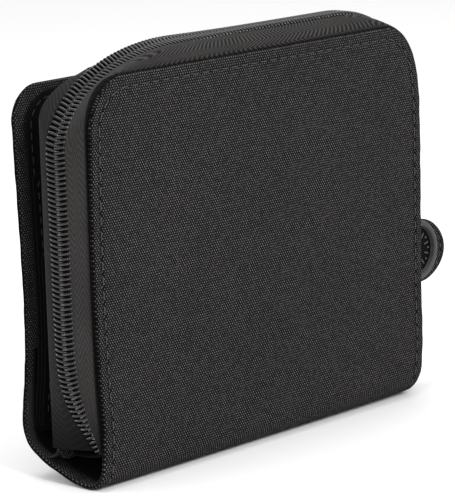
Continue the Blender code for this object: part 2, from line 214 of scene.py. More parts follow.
def resample(pts, step):
    """Points at an even step along a polyline."""
    pts = np.asarray(pts, float)
    seg = np.linalg.norm(np.diff(pts, axis=0), axis=1)
    s = np.concatenate([[0], np.cumsum(seg)])
    n = max(2, int(round(s[-1] / step)) + 1)
    q = np.linspace(0, s[-1], n)
    return np.stack([np.interp(q, s, pts[:, i]) for i in range(pts.shape[1])], 1), q


def stitches(name, pts, nrm, mat, length=2.9, gap=1.1, radius=0.2, lift=0.1):
    """A row of lockstitches along a line of surface points with their normals."""
    both, _ = resample(np.concatenate([pts, nrm], 1), 0.2)
    step = length + gap
    total = (len(both) - 1) * 0.2
    paths, ups = [], []
    for k in range(int((total - 0.5) / step)):
        a = 0.5 + k * step
        jig = 0.12 * math.sin(k * 12.9898)
        q = np.linspace(a + jig, a + length + jig, 7)
        p = np.stack([np.interp(q / 0.2, np.arange(len(both)), both[:, i]) for i in range(6)], 1)
        n = p[:, 3:] / np.linalg.norm(p[:, 3:], axis=1)[:, None]
        rise = np.array([-0.3, 0.05, 0.9, 1.0, 0.9, 0.05, -0.3]) * lift
        rise[[0, -1]] = -0.22
        paths.append(p[:, :3] + n * rise[:, None])
        ups.append(n)
    v, f, uv = tube_mesh(paths, radius, 6, ups)
    return build(name, v, f, mat, uv, 80)


# =================================================================== materials
class Nodes:
    """Short-hand for building a node material."""

    def __init__(self, name):
        self.mat = bpy.data.materials.new(name)
        self.mat.use_nodes = True
        self.nt = self.mat.node_tree
        self.p = self.nt.nodes["Principled BSDF"]

    def new(self, kind, **kw):
        n = self.nt.nodes.new(kind)
        for k, v in kw.items():
            setattr(n, k, v)
        return n

    def put(self, sock, val):
        if isinstance(val, bpy.types.NodeSocket):
            self.nt.links.new(val, sock)
        else:
            sock.default_value = val

    def math(self, op, a, b=0.0, c=0.0, clamp=False):
        n = self.new("ShaderNodeMath", operation=op, use_clamp=clamp)
        self.put(n.inputs[0], a)
        self.put(n.inputs[1], b)
        self.put(n.inputs[2], c)
        return n.outputs[0]

    def mix(self, f, a, b, blend="MIX"):
        n = self.new("ShaderNodeMix", data_type="RGBA", blend_type=blend)
        self.put(n.inputs[0], f)
        self.put(n.inputs[6], a)
        self.put(n.inputs[7], b)
        return n.outputs[2]

    def ramp(self, f, stops):
        n = self.new("ShaderNodeValToRGB")
        e = n.color_ramp.elements
        e[0].position, e[0].color = stops[0][0], (*stops[0][1], 1)
        e[1].position, e[1].color = stops[1][0], (*stops[1][1], 1)
        for pos, col in stops[2:]:
            x = e.new(pos)
            x.color = (*col, 1)
        self.put(n.inputs[0], f)
        return n.outputs[0]

    def noise(self, scale, detail=3.0, rough=0.55, vec=None, dims="3D"):
        n = self.new("ShaderNodeTexNoise", noise_dimensions=dims)
        n.inputs["Scale"].default_value = scale
        n.inputs["Detail"].default_value = detail
        n.inputs["Roughness"].default_value = rough
        if vec is not None:
            self.nt.links.new(vec, n.inputs["Vector"])
        return n.outputs["Fac"]

    def uv(self):
        return self.new("ShaderNodeUVMap", uv_map="weave").outputs[0]

    def obj(self):
        return self.new("ShaderNodeTexCoord").outputs["Object"]

    def split(self, vec):
        n = self.new("ShaderNodeSeparateXYZ")
        self.nt.links.new(vec, n.inputs[0])
        return n.outputs[0], n.outputs[1]

    def xyz(self, vec):
        n = self.new("ShaderNodeSeparateXYZ")
        self.nt.links.new(vec, n.inputs[0])
        return n.outputs[0], n.outputs[1], n.outputs[2]

    def range(self, v, a, b, c, d):
        n = self.new("ShaderNodeMapRange")
        self.put(n.inputs[0], v)
        for i, x in enumerate((a, b, c, d)):
            n.inputs[i + 1].default_value = x
        return n.outputs[0]

    def bump(self, h, strength, dist, normal=None):
        n = self.new("ShaderNodeBump")
        n.inputs["Strength"].default_value = strength
        n.inputs["Distance"].default_value = dist
        self.nt.links.new(h, n.inputs["Height"])
        if normal is not None:
            self.nt.links.new(normal, n.inputs["Normal"])
        return n.outputs[0]


def cell(N, x, pitch):
    """Whole thread number and place across the thread, 0 at its middle."""
    s = N.math("DIVIDE", x, pitch)
    fl = N.math("FLOOR", s)
    fr = N.math("SUBTRACT", N.math("SUBTRACT", s, fl), 0.5)
    return s, fl, fr


def weave_material(name, dark, light, warp, weft, bump=0.00018, rough=0.82, sheen=0.12, fleck=0.5, tint=(1, 1, 1), turned=False, end_x=None):
    """Plain-woven cloth: warp and weft pass over each other in turn, with uneven
    yarns, lighter flecks where a yarn crowns, and a soft change over the panel.
    turned adds painted shade on faces turned sideways and low in the spine's
    hollow; end_x paints shade over the sheet inward from its end."""
    N = Nodes(name)
    uv = N.uv()
    # yarns wander a little, so the lines of the weave aren't ruled
    wob = N.new("ShaderNodeTexNoise", noise_dimensions="2D")
    wob.inputs["Scale"].default_value = 260.0
    wob.inputs["Detail"].default_value = 2.0
    N.nt.links.new(uv, wob.inputs["Vector"])
    off = N.new("ShaderNodeVectorMath", operation="SCALE")
    sub = N.new("ShaderNodeVectorMath", operation="SUBTRACT")
    N.nt.links.new(wob.outputs["Color"], sub.inputs[0])
    sub.inputs[1].default_value = (0.5, 0.5, 0.5)
    N.nt.links.new(sub.outputs[0], off.inputs[0])
    off.inputs["Scale"].default_value = warp * 0.42
    add = N.new("ShaderNodeVectorMath", operation="ADD")
    N.nt.links.new(uv, add.inputs[0])
    N.nt.links.new(off.outputs[0], add.inputs[1])
    x, y = N.split(add.outputs[0])
    _, fx, rx = cell(N, x, warp)
    _, fy, ry = cell(N, y, weft)
    par = N.math("MODULO", N.math("ABSOLUTE", N.math("ADD", fx, fy)), 2.0)
    # a yarn is round across and crowns along
    hx = N.math("COSINE", N.math("MULTIPLY", rx, math.pi * 0.96))
    hy = N.math("COSINE", N.math("MULTIPLY", ry, math.pi * 0.96))
    up = N.math("MULTIPLY", N.math("POWER", hx, 0.6), N.math("ADD", 0.45, N.math("MULTIPLY", hy, 0.55)))
    over = N.math("MULTIPLY", N.math("POWER", hy, 0.6), N.math("ADD", 0.45, N.math("MULTIPLY", hx, 0.55)))
    n = N.new("ShaderNodeMix", data_type="FLOAT")
    N.put(n.inputs[0], par)
    N.put(n.inputs[2], up)
    N.put(n.inputs[3], over)
    h = n.outputs[0]
    # each crossing has its own brightness
    comb = N.new("ShaderNodeCombineXYZ")
    N.put(comb.inputs[0], fx)
    N.put(comb.inputs[1], fy)
    wn = N.new("ShaderNodeTexWhiteNoise", noise_dimensions="2D")
    N.nt.links.new(comb.outputs[0], wn.inputs["Vector"])
    rnd = wn.outputs["Value"]
    o = N.obj()
    slow = N.noise(38.0, 4.0, 0.6, o)
    fine = N.noise(2600.0, 2.0, 0.6, o)
    which = N.range(par, 0.0, 1.0, 1.0, 0.1)
    crown = N.math("MULTIPLY", N.math("POWER", h, 3.0), N.math("ADD", 1.0 - fleck, N.math("MULTIPLY", rnd, fleck)))
    crown = N.math("MULTIPLY", crown, which)
    crown = N.math("MULTIPLY", crown, N.math("ADD", 0.28, N.math("MULTIPLY", hy, 0.72)))  # the weft lies in rows
    crown = N.math("MULTIPLY", crown, N.math("ADD", 0.8, N.math("MULTIPLY", fine, 0.4)), clamp=True)
    col = N.mix(crown, (*[c * t for c, t in zip(dark, tint)], 1), (*[c * t for c, t in zip(light, tint)], 1))
    shade = N.range(slow, 0.3, 0.7, 0.93, 1.07)
    # painted shade: from about 1 to 2 mm in from its end at end_x the sheet darkens to 7%, standing in for the shade
    # in the passport gap
    if end_x is not None:
        shade = N.math("MULTIPLY", shade, N.range(N.xyz(o)[0], end_x + 0.0009, end_x + 0.0022, 1.0, 0.07))
    # painted shade: faces whose normal runs along X are darkened to as little as 30%, less so near the bottom
    if turned:
        face = N.new("ShaderNodeTexCoord")
        nx, _, nz = N.xyz(face.outputs["Normal"])
        oz = N.xyz(o)[2]
        side = N.math("MULTIPLY", N.range(N.math("ABSOLUTE", nx), 0.15, 0.8, 0.0, 1.0), N.range(oz, 0.008, 0.020, 0.35, 1.0))
        shade = N.math("MULTIPLY", shade, N.range(side, 0.0, 1.0, 1.0, 0.3))
        # painted shade in the spine's hollow: upward faces low down, away from the ends, are darkened to 15%
        inside = N.math("MULTIPLY", N.range(nz, 0.15, 0.5, 0.0, 1.0), N.range(oz, 0.0085, 0.0120, 1.0, 0.0))
        inside = N.math("MULTIPLY", inside, N.range(N.math("ABSOLUTE", N.xyz(o)[0]), 0.0625, 0.0685, 1.0, 0.0))
        shade = N.math("MULTIPLY", shade, N.range(inside, 0.0, 1.0, 1.0, 0.15))
    hsv = N.new("ShaderNodeHueSaturation")
    N.nt.links.new(col, hsv.inputs["Color"])
    N.nt.links.new(shade, hsv.inputs["Value"])
    N.nt.links.new(hsv.outputs[0], N.p.inputs["Base Color"])
    N.nt.links.new(N.range(crown, 0.0, 1.0, rough + 0.08, rough - 0.12), N.p.inputs["Roughness"])
    N.p.inputs["Specular IOR Level"].default_value = 0.05
    N.p.inputs["Sheen Weight"].default_value = sheen
    N.p.inputs["Sheen Roughness"].default_value = 0.45
    b1 = N.bump(N.noise(620.0, 3.0, 0.6, o), 0.25, 0.0004)
    N.nt.links.new(N.bump(h, 0.9, bump, b1), N.p.inputs["Normal"])
    return N.mat


def tape_material(name, dark, light):
    """Herringbone zip tape: slanting ribs that turn about at each column."""
    N = Nodes(name)
    x, y = N.split(N.uv())  # x along the tape, y across it
    col_w = 0.0046
    s = N.math("DIVIDE", y, col_w)
    fl = N.math("FLOOR", s)
    fr = N.math("SUBTRACT", s, fl)
    par = N.math("MODULO", N.math("ABSOLUTE", fl), 2.0)
    n = N.new("ShaderNodeMix", data_type="FLOAT")
    N.put(n.inputs[0], par)
    N.put(n.inputs[2], fr)
    N.put(n.inputs[3], N.math("SUBTRACT", 1.0, fr))
    slant = N.math("MULTIPLY", n.outputs[0], col_w * 0.9)
    ph = N.math("MULTIPLY", N.math("ADD", x, slant), 2 * math.pi / 0.00205)
    rib = N.math("ADD", 0.5, N.math("MULTIPLY", N.math("SINE", ph), 0.5))
    cross = N.math("ADD", 0.5, N.math("MULTIPLY", N.math("SINE", N.math("MULTIPLY", y, 2 * math.pi / 0.00042)), 0.5))
    h = N.math("MULTIPLY", rib, N.math("ADD", 0.7, N.math("MULTIPLY", cross, 0.3)))
    o = N.obj()
    slow = N.noise(55.0, 4.0, 0.6, o)
    fine = N.noise(2300.0, 2.0, 0.7, o)
    f = N.math("MULTIPLY", N.math("POWER", h, 1.4), N.math("ADD", 0.45, N.math("MULTIPLY", fine, 0.95)), clamp=True)
    ribbed = N.range(N.xyz(o)[0], -0.062, -0.046, 0.35, 1.0)
    flat_ = N.math("MULTIPLY", N.math("SUBTRACT", 1.0, ribbed), N.math("ADD", 0.18, N.math("MULTIPLY", fine, 0.5)))
    f = N.math("ADD", N.math("MULTIPLY", f, ribbed), flat_, clamp=True)
    c = N.mix(f, (*dark, 1), (*light, 1))
    hsv = N.new("ShaderNodeHueSaturation")
    N.nt.links.new(c, hsv.inputs["Color"])
    # slow change of tone, with painted shade towards the lower ends of the chain
    low = N.math("ADD", N.xyz(o)[2], N.math("MULTIPLY", fine, 0.004))
    tone_and_shade = N.math("MULTIPLY", N.range(slow, 0.3, 0.7, 0.85, 1.15), N.range(low, 0.0140, 0.0270, 0.10, 1.0))
    # painted shade in the crevice along the tape's edge under the panel's hem
    tone_and_shade = N.math("MULTIPLY", tone_and_shade, N.range(y, 0.0024, 0.0034, 0.1, 1.0))
    # painted shade: the rear tape, whose uv starts at 46 mm, is a copy at half brightness
    tone_and_shade = N.math("MULTIPLY", tone_and_shade, N.range(y, 0.044, 0.045, 1.0, 0.5))
    N.nt.links.new(tone_and_shade, hsv.inputs["Value"])
    N.nt.links.new(hsv.outputs[0], N.p.inputs["Base Color"])
    N.nt.links.new(N.range(f, 0.0, 1.0, 0.9, 0.72), N.p.inputs["Roughness"])
    N.p.inputs["Specular IOR Level"].default_value = 0.12
    N.p.inputs["Sheen Weight"].default_value = 0.02
    N.p.inputs["Sheen Roughness"].default_value = 0.5
    b = N.bump(N.noise(500.0, 3.0, 0.6, o), 0.2, 0.0003)
    N.nt.links.new(N.bump(h, 0.6, 0.00018, b), N.p.inputs["Normal"])
    return N.mat


def hard_material(name, base, worn, rough, metal=0.0, scale=300.0, wear=0.0, bump=0.00004, spec=0.5, coat=0.0):
    """Moulded or cast surface: uneven gloss, fine pitting and paler worn edges."""
    N = Nodes(name)
    o = N.obj()
    a = N.noise(scale, 4.0, 0.6, o)
    b = N.noise(scale * 6, 3.0, 0.65, o)
    geo = N.new("ShaderNodeNewGeometry")
    edge = N.range(geo.outputs["Pointiness"], 0.52, 0.62, 0.0, 1.0)
    f = N.math("MULTIPLY", N.math("MULTIPLY", edge, N.range(b, 0.35, 0.65, 0.2, 1.0)), wear, clamp=True)
    c = N.mix(f, (*base, 1), (*worn, 1))
    hsv = N.new("ShaderNodeHueSaturation")
    N.nt.links.new(c, hsv.inputs["Color"])
    N.nt.links.new(N.range(a, 0.3, 0.7, 0.85, 1.15), hsv.inputs["Value"])
    N.nt.links.new(hsv.outputs[0], N.p.inputs["Base Color"])
    N.nt.links.new(N.range(a, 0.3, 0.7, max(rough - 0.07, 0.05), rough + 0.09), N.p.inputs["Roughness"])
    N.p.inputs["Metallic"].default_value = metal
    N.p.inputs["Specular IOR Level"].default_value = spec
    N.p.inputs["Coat Weight"].default_value = coat
    N.nt.links.new(N.bump(b, 0.35, bump), N.p.inputs["Normal"])
    return N.mat


def thread_material(name, dark, light):
    """Twisted sewing thread."""
    N = Nodes(name)
    x, y = N.split(N.uv())
    ph = N.math("ADD", N.math("MULTIPLY", x, 2 * math.pi / 0.0006), N.math("MULTIPLY", y, 5000.0))
    h = N.math("ADD", 0.5, N.math("MULTIPLY", N.math("SINE", ph), 0.5))
    f = N.math("MULTIPLY", h, N.math("ADD", 0.5, N.noise(1800.0, 2.0, 0.6, N.obj())), clamp=True)
    N.nt.links.new(N.mix(f, (*dark, 1), (*light, 1)), N.p.inputs["Base Color"])
    N.nt.links.new(N.range(h, 0, 1, 0.75, 0.5), N.p.inputs["Roughness"])
    N.nt.links.new(N.bump(h, 0.7, 0.00006), N.p.inputs["Normal"])
    return N.mat


SHELL = weave_material("shell_weave", (0.0006, 0.0005, 0.0005), (0.188, 0.1772, 0.1833), 0.00044, 0.00068, 0.00014, 0.88, 0.008, 0.5, turned=True)
INNER = weave_material("lining_weave", (0.0012, 0.0011, 0.0010), (0.009, 0.0084, 0.0079), 0.00030, 0.00030, 0.00007, 0.75, 0.02, 0.3)
TAPE = tape_material("herringbone_tape", (0.0035, 0.0033, 0.0032), (0.054, 0.0510, 0.0498))
COIL = hard_material("coil_plastic", (0.0022, 0.0021, 0.0021), (0.010, 0.010, 0.010), 0.08, 0.0, 420.0, 0.3, 0.00002, 0.55)
# the fold's colour is painted in shade inward from its left end, by end_x
FOLD = weave_material("fold_weave", (0.0060, 0.0056, 0.0053), (0.120, 0.1130, 0.1080), 0.00040, 0.00040, 0.00009, 0.8, 0.008, 0.4, end_x=-(COVER_HI[0] + 0.8) / 1000)
CORD = hard_material("chain_thread", (0.0022, 0.0021, 0.0020), (0.01, 0.01, 0.01), 0.9, 0.0, 900.0, 0.3, 0.00008, 0.05)
BLACK_METAL = hard_material("lacquered_zinc", (0.03, 0.03, 0.031), (0.35, 0.34, 0.33), 0.3, 0.55, 260.0, 0.8, 0.00003, 0.5, 0.2)
NICKEL = hard_material("nickel", (0.45, 0.45, 0.46), (0.7, 0.7, 0.7), 0.26, 1.0, 300.0, 0.4, 0.00002)
CAP = hard_material("cap_plastic", (0.0430, 0.0415, 0.0402), (0.09, 0.087, 0.085), 0.5, 0.0, 330.0, 0.4, 0.00004, 0.3)
# painted shade: a far darker copy of the cap's plastic, for the face in the dish
CAP_FACE_PAINTED_SHADE = hard_material("cap_face_painted_shade", (0.0017, 0.0016, 0.0015), (0.006, 0.006, 0.006), 0.6, 0.0, 330.0, 0.4, 0.00004, 0.05)
BOARD = hard_material("fibre_board", (0.16, 0.15, 0.13), (0.25, 0.24, 0.2), 0.9, 0.0, 900.0, 0.2, 0.0001, 0.2)
THREAD = thread_material("sewing_thread", (0.005, 0.0047, 0.0048), (0.050, 0.0475, 0.0480))
LINING_THREAD = thread_material("lining_thread", (0.0020, 0.0019, 0.0019), (0.010, 0.0095, 0.0095))


# =================================================================== front shell
def lerp_table(z, table):
    zs, vs = zip(*table)
    return np.interp(z, zs, vs)


V_END = 119.4
SPLIT_Y, SPLIT_Z = -5.0, 0.55  # where the front's cloth meets the rear's, under the spine
LEFT_EDGE = [(0, 70.0), (6, 69.5), (14, 68.7), (20, 68.9), (33, 69.8), (50, 70.5), (68, 70.6), (85, 70.2), (102, 69.7), (112, 69.5)]
RIGHT_EDGE = [(0, 66.0), (7, 66.6), (16, 67.7), (32, 67.5), (54, 67.9), (74, 68.3), (88, 68.3), (94.5, 67.8), (100, 66.9), (104, 66.4), (108, 66.2), (112, 66.3)]


def warp_x(x, z):
    left = lerp_table(z, LEFT_EDGE) / 69.5
    right = lerp_table(z, RIGHT_EDGE) / 69.5
    return x * np.where(x < 0, left, right)


def front_surface(x, v):
    """Outer face of the front panel and the spine's front half: down the front,
    round the bottom edge and under. Gives points and outward normals."""
    rb = 6.2 + 2.6 * np.clip((x + 69.5) / 139.0, 0, 1)
    l1 = PANEL_TOP - rb
    arc = rb * math.pi / 2
    th = np.clip((v - l1) / rb, 0, math.pi / 2)
    over = np.clip((v - l1 - arc) / (V_END - l1 - arc), 0, 1)
    y_end = FRONT_Y + rb
    z = np.where(v < l1, PANEL_TOP - v, rb * (1 - np.sin(th))) + SPLIT_Z * over**2
    y = FRONT_Y + rb * (1 - np.cos(th)) + (SPLIT_Y - y_end) * over
    xx = warp_x(x, np.maximum(z, 0))
    fade = np.clip((v) / 20.0, 0, 1) * np.clip((l1 - v) / 20.0, 0, 1)
    inx = np.clip((69.5 - np.abs(x)) / 14.0, 0, 1)
    y = y + fade * inx * (0.25 * wobble(x, v) + 0.0)
    p = np.stack([xx, y, z], -1)
    n = np.stack([np.zeros_like(x), -np.cos(th), -np.sin(th)], -1)
    return p, n


def shell_panel(name, surface, hw, r0, v_end, ds, thick, mat, phase=0.0, stitch=3.2):
    R = rings(hw, r0, v_end, ds)
    d = np.array(ds)[None, :].repeat(R.shape[0], 0)
    x, v = R[..., 0], R[..., 1]
    p, n = surface(x, v)
    along = np.arange(R.shape[0])[:, None] * 1.9
    h = edge_profile(d, 0.8, stitch)
    pucker = 0.07 * np.sin(along * 2 * math.pi / 4.0 + phase) * np.exp(-(((d - stitch) / 1.6) ** 2))
    ragged = 0.16 * wobble(along * 2.2 + phase, d * 3, 3.0) * np.exp(-d / 1.6)
    top = p + n * (h + pucker + ragged)[..., None]
    back = -thick + np.where(d < 0.8, 0.8 - np.sqrt(np.maximum(0.64 - (0.8 - d) ** 2, 0)), 0.0)
    back = back + 0.5 * np.clip((d - 5.0) / 0.8, 0, 1)  # the turned hem ends inside
    back = np.minimum(back, h - 0.15)
    bot = p + n * back[..., None]
    bot[:, 0] = top[:, 0]
    return slab(name, top, bot, mat, np.stack([x, v], -1), 60, 0.02, False)


ds = EDGE_DS + [69.5]
front_shell = shell_panel("front_shell", front_surface, PANEL_HW, PANEL_R, V_END, ds, 1.55, SHELL)
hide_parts("front_outer_fabric")
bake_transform(front_shell)


def stitch_row(name, surface, hw, r0, v_end, d, height, mat, **kw):
    R = rings(hw, r0, v_end, [d], 120, 24, 120)[:, 0]
    p, n = surface(R[:, 0], R[:, 1])
    return stitches(name, p + n * height, n, mat, **kw)


row = stitch_row("front_topstitch", front_surface, PANEL_HW, PANEL_R, V_END, 3.2, -0.16, THREAD)
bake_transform(row)


# =================================================================== back cover and rear of the spine
REAR = [
    (0.0, 15.0), (18.0, 14.4), (36.0, 13.2), (54.0, 12.5), (70.0, 12.7), (84.0, 13.9), (92.0, 14.6), (97.0, 14.3),
]


def catmull(pts, n=16):
    pts = np.array(pts, float)
    P = np.concatenate([[2 * pts[0] - pts[1]], pts, [2 * pts[-1] - pts[-2]]])
    out = []
    for i in range(1, len(P) - 2):
        p0, p1, p2, p3 = P[i - 1 : i + 3]
        for t in np.linspace(0, 1, n, endpoint=False):
            out.append(0.5 * (2 * p1 + (p2 - p0) * t + (2 * p0 - 5 * p1 + 4 * p2 - p3) * t**2 + (3 * p1 - p0 - 3 * p2 + p3) * t**3))
    out.append(P[-2])
    return np.array(out)


# the cover's section from its top edge down, round the bottom and under, as (y, z)
COVER_PROFILE = catmull([
    (14.2, COVER_TOP + 0.5), (14.2, 100), (13.7, 85), (12.9, 65), (12.5, 48), (13.0, 32), (14.5, 20), (14.7, 13.6),
    (13.4, 9.8), (10.8, 7.3), (6.4, 4.7), (2.4, 3.0), (-1.5, 1.6), (SPLIT_Y, SPLIT_Z),
])
_seg = np.linalg.norm(np.diff(COVER_PROFILE, axis=0), axis=1)
COVER_S = np.concatenate([[0], np.cumsum(_seg)])
_tan = np.gradient(COVER_PROFILE, COVER_S, axis=0)


def cover_surface(x, v):
    y = np.interp(v, COVER_S, COVER_PROFILE[:, 0])
    z = np.interp(v, COVER_S, COVER_PROFILE[:, 1])
    ty = np.interp(v, COVER_S, _tan[:, 0])
    tz = np.interp(v, COVER_S, _tan[:, 1])
    ln = np.sqrt(ty**2 + tz**2)
    inx = np.clip((68.5 - np.abs(x)) / 14.0, 0, 1)
    y = y + inx * 0.35 * wobble(x, v, 0.8, 2.0) + 0.9 * inx * np.clip((90 - v) / 30, 0, 1) * np.clip(v / 20, 0, 1)
    n = np.stack([np.zeros_like(x), -tz / ln, ty / ln], -1)
    meet = np.clip((v - (COVER_S[-1] - 20.0)) / 20.0, 0, 1)
    x = np.where(x > 0, x * (1 - 0.0571 * meet * meet * (3 - 2 * meet)), x)
    return np.stack([x, y, z], -1), n


cover_end = float(COVER_S[-1])
COVER_W = COVER_HW + 1.5
cover_shell = shell_panel("cover_shell", cover_surface, COVER_W, COVER_R, cover_end, EDGE_DS + [COVER_W], 1.5, SHELL, 1.7)
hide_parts("cover_outer_fabric")
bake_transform(cover_shell)
row = stitch_row("cover_topstitch", cover_surface, COVER_W, COVER_R, cover_end, 3.2, -0.16, THREAD)
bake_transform(row)


# =================================================================== zip
CHAIN_LOW = [(9.0, -14.9, 66.6), (11.4, -13.4, 67.2), (15.4, -10.8, 68.3), (20.5, -8.4, 69.9), (26.0, -6.6, 71.0), (34.0, -5.3, 71.6), (46.0, -4.8, 71.6)]
_low = catmull(CHAIN_LOW, 12)


def low_bend(z):
    """Depth and half width of the chain's middle on the left run."""
    y = np.interp(z, _low[:, 0], _low[:, 1])
    w = np.interp(z, _low[:, 0], _low[:, 2])
    return y, w


def arc_points(cx, cz, rx, rz, a0, a1, n, power=2.0):
    """Part of an ellipse, or of a squarer curve for a power over 2."""
    t = np.radians(np.linspace(a0, a1, n))
    c, d = np.cos(t), np.sin(t)
    k = 2.0 / power
    return np.stack([cx + rx * np.sign(c) * np.abs(c) ** k, cz + rz * np.sign(d) * np.abs(d) ** k], 1)


def outline(hw, top, left_r, right_r, n=40, power=2.15):
    """Left run, left corner, top, right corner and right run, n points each."""
    (lx, lz), (rx, rz) = left_r, right_r
    z = np.linspace(Z_LEFT, top - lz, n, endpoint=False)
    a = np.stack([np.full(n, -hw), z], 1)
    b = arc_points(-hw + lx, top - lz, lx, lz, 180, 90, n, power)
    x = np.linspace(-hw + lx, hw - rx, n + 2)[1:-1]
    c = np.stack([x, np.full(n, top)], 1)
    d = arc_points(hw - rx, top - rz, rx, rz, 90, 0, n, 2.1)
    z = np.linspace(top - rz, Z_RIGHT, n + 1)[1:]
    e = np.stack([np.full(n, hw), z], 1)
    return np.concatenate([a, b, c, d, e])


Z_LEFT, Z_RIGHT = 10.5, 15.0
PANEL_LINE = outline(PANEL_HW, PANEL_TOP, (14.0, 14.0), (15.0, 18.0))
CHAIN_LINE = outline(71.6, 116.0, (47.0, 25.0), (31.0, 26.0), power=2.0)
REAR_LINE = outline(71.4, 112.3, (34.0, 12.0), (24.0, 19.0), power=2.0)  # where the rear tape meets the divider
LINE_N = len(CHAIN_LINE)


def station_path(z_left, z_right, step=0.8):
    """Places along the run, evenly spaced on the chain's line, as fractional
    indexes into the two outlines."""
    seg = np.concatenate([[0], np.cumsum(np.linalg.norm(np.diff(CHAIN_LINE, axis=0), axis=1))])
    lo = np.interp(z_left, CHAIN_LINE[:40, 1], seg[:40])
    hi = np.interp(-z_right, -CHAIN_LINE[-40:, 1], seg[-40:])
    q = np.linspace(lo, hi, int((hi - lo) / step))
    return np.interp(q, seg, np.arange(LINE_N))


def at_station(st, out, y, chain_t, base=None):
    """A point at a station. out runs from 0 at the panel's outline to 1 at the
    chain's line, y is its depth, and chain_t says how far it follows the chain
    where that bends at the low left end."""
    k = np.arange(LINE_N)
    line = PANEL_LINE if base is None else base
    p = np.array([np.interp(st, k, line[:, i]) for i in (0, 1)])
    c = np.array([np.interp(st, k, CHAIN_LINE[:, i]) for i in (0, 1)])
    dp = np.array([np.interp(min(st + 0.5, LINE_N - 1.0), k, line[:, i]) - np.interp(max(st - 0.5, 0.0), k, line[:, i]) for i in (0, 1)])
    dp /= np.linalg.norm(dp) + 1e-9
    q = p + (c - p) * max(out, 0.0) + np.array([-dp[1], dp[0]]) * 2.2 * min(out, 0.0)
    x, z = q
    if st < 40:
        z = c[1] + (p[1] - c[1]) * (1 - max(out, 0.0)) * np.clip((c[1] - 50) / 40, 0, 1)
        yl, w = low_bend(z)
        return np.array([x + (71.6 - w) * chain_t, y + (yl - CHAIN_Y) * chain_t, z])
    return np.array([x, y, z])


def frames(stations, out, y, chain_t, base=None):
    """Points along the run with the direction along it and the way out of it."""
    p = np.array([at_station(s, out, y, chain_t, base) for s in stations])
    t = np.gradient(p, axis=0)
    t /= np.linalg.norm(t, axis=1)[:, None]
    c = np.array([at_station(k, 1.0, y, chain_t) for k in stations])
    tc = np.gradient(c, axis=0)
    o = np.stack([-tc[:, 2], np.zeros(len(c)), tc[:, 0]], 1)
    o /= np.linalg.norm(o, axis=1)[:, None]
    # the chain leans forward where it turns the upper corners
    lean = TWIST * np.exp(-(((np.asarray(stations) - 62.0) / 22.0) ** 2))
    o = o * np.cos(lean)[:, None] + np.array([0, -1.0, 0]) * np.sin(lean)[:, None]
    o -= t * (o * t).sum(1)[:, None]
    o /= np.linalg.norm(o, axis=1)[:, None]
    side = np.cross(o, t)  # towards the rear or the front
    flip = np.sign(side[:, 1])[:, None]
    side = side * np.where(flip == 0, 1, flip)  # towards +Y
    return p, t, o, side


def band(name, rows, stations, thick, mat, base=None, w0=0.0):
    """A tape through rows of (out, y, chain_t, lift)."""
    cols = []
    for out, y, ct, lift in rows:
        p, t, o, side = frames(stations, out, y, ct, base)
        cols.append(p + o * lift)
    P = np.array(cols).transpose(1, 0, 2)
    du = np.gradient(P, axis=0)
    dv = np.gradient(P, axis=1)
    n = np.cross(du, dv)
    n /= np.linalg.norm(n, axis=2)[..., None] + 1e-12
    ref = np.array([frames(stations, 1, -5, 0)[2]])[0]
    if (n[len(n) // 2, n.shape[1] // 2] * ref[len(n) // 2]).sum() < 0:
        n = -n
    s = np.concatenate([[0], np.cumsum(np.linalg.norm(np.diff(P[:, 0], axis=0), axis=1))])
    w = np.concatenate([[0], np.cumsum(np.linalg.norm(np.diff(P[len(P) // 2], axis=0), axis=1))])
    uv = np.stack(np.meshgrid(s, w + w0, indexing="ij"), -1)
    return slab(name, P + n * thick / 2, P - n * thick / 2, mat, uv, 60)


TWIST = 0.42
ST = station_path(10.5, 18.0)
ST_T = station_path(10.5, 15.0)
_line = frames(ST_T, 0.5, -6.0, 0.0)[0]

# front tape: from under the panel's turned edge, over a soft shoulder, to the chain
rows_f = []
for t in [0.0, 0.02, 0.045, 0.07, 0.1, 0.15, 0.22, 0.3, 0.38, 0.47, 0.56, 0.65, 0.74, 0.83, 0.91, 0.96, 1.0]:
    y = -13.9 + (CHAIN_Y - 0.35 + 13.9) * t
    out = -1.1 * (1 - min(t / 0.1, 1.0)) ** 2 + math.sin(min(t * 1.12, 1.0) * math.pi / 2)
    if t < 0.1:
        out = min(out, -0.02)
    bulge = 0.5 * math.sin(math.pi * t)
    rows_f.append((out, y, max(0.0, t) ** 0.9, bulge - 1.25 * t**3))
front_tape = band("front_tape", rows_f, ST_T, 0.55, TAPE)
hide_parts("front_zip_tape")
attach(front_tape, "front_panel")

rows_r = []
for t in np.linspace(0, 1, 11):
    y = CHAIN_Y + 0.35 + (1.3 - CHAIN_Y - 0.35) * t
    out = 1.0 - max(0.0, t - 0.15) ** 1.3 / 0.85**1.3
    rows_r.append((out, y, (1 - t) ** 0.9, 0.35 * math.sin(math.pi * t) - 1.25 * (1 - t) ** 3))
for out, y in ((-0.08, 1.35), (-0.25, 1.25), (-0.6, 1.0), (-1.1, 0.85), (-1.8, 0.78)):
    rows_r.append((out, y, 0.0, 0.0))
rear_tape = band("rear_tape", rows_r, ST_T, 0.55, TAPE, REAR_LINE, 46.0)
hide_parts("rear_zip_tape")
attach(rear_tape, "compartment")


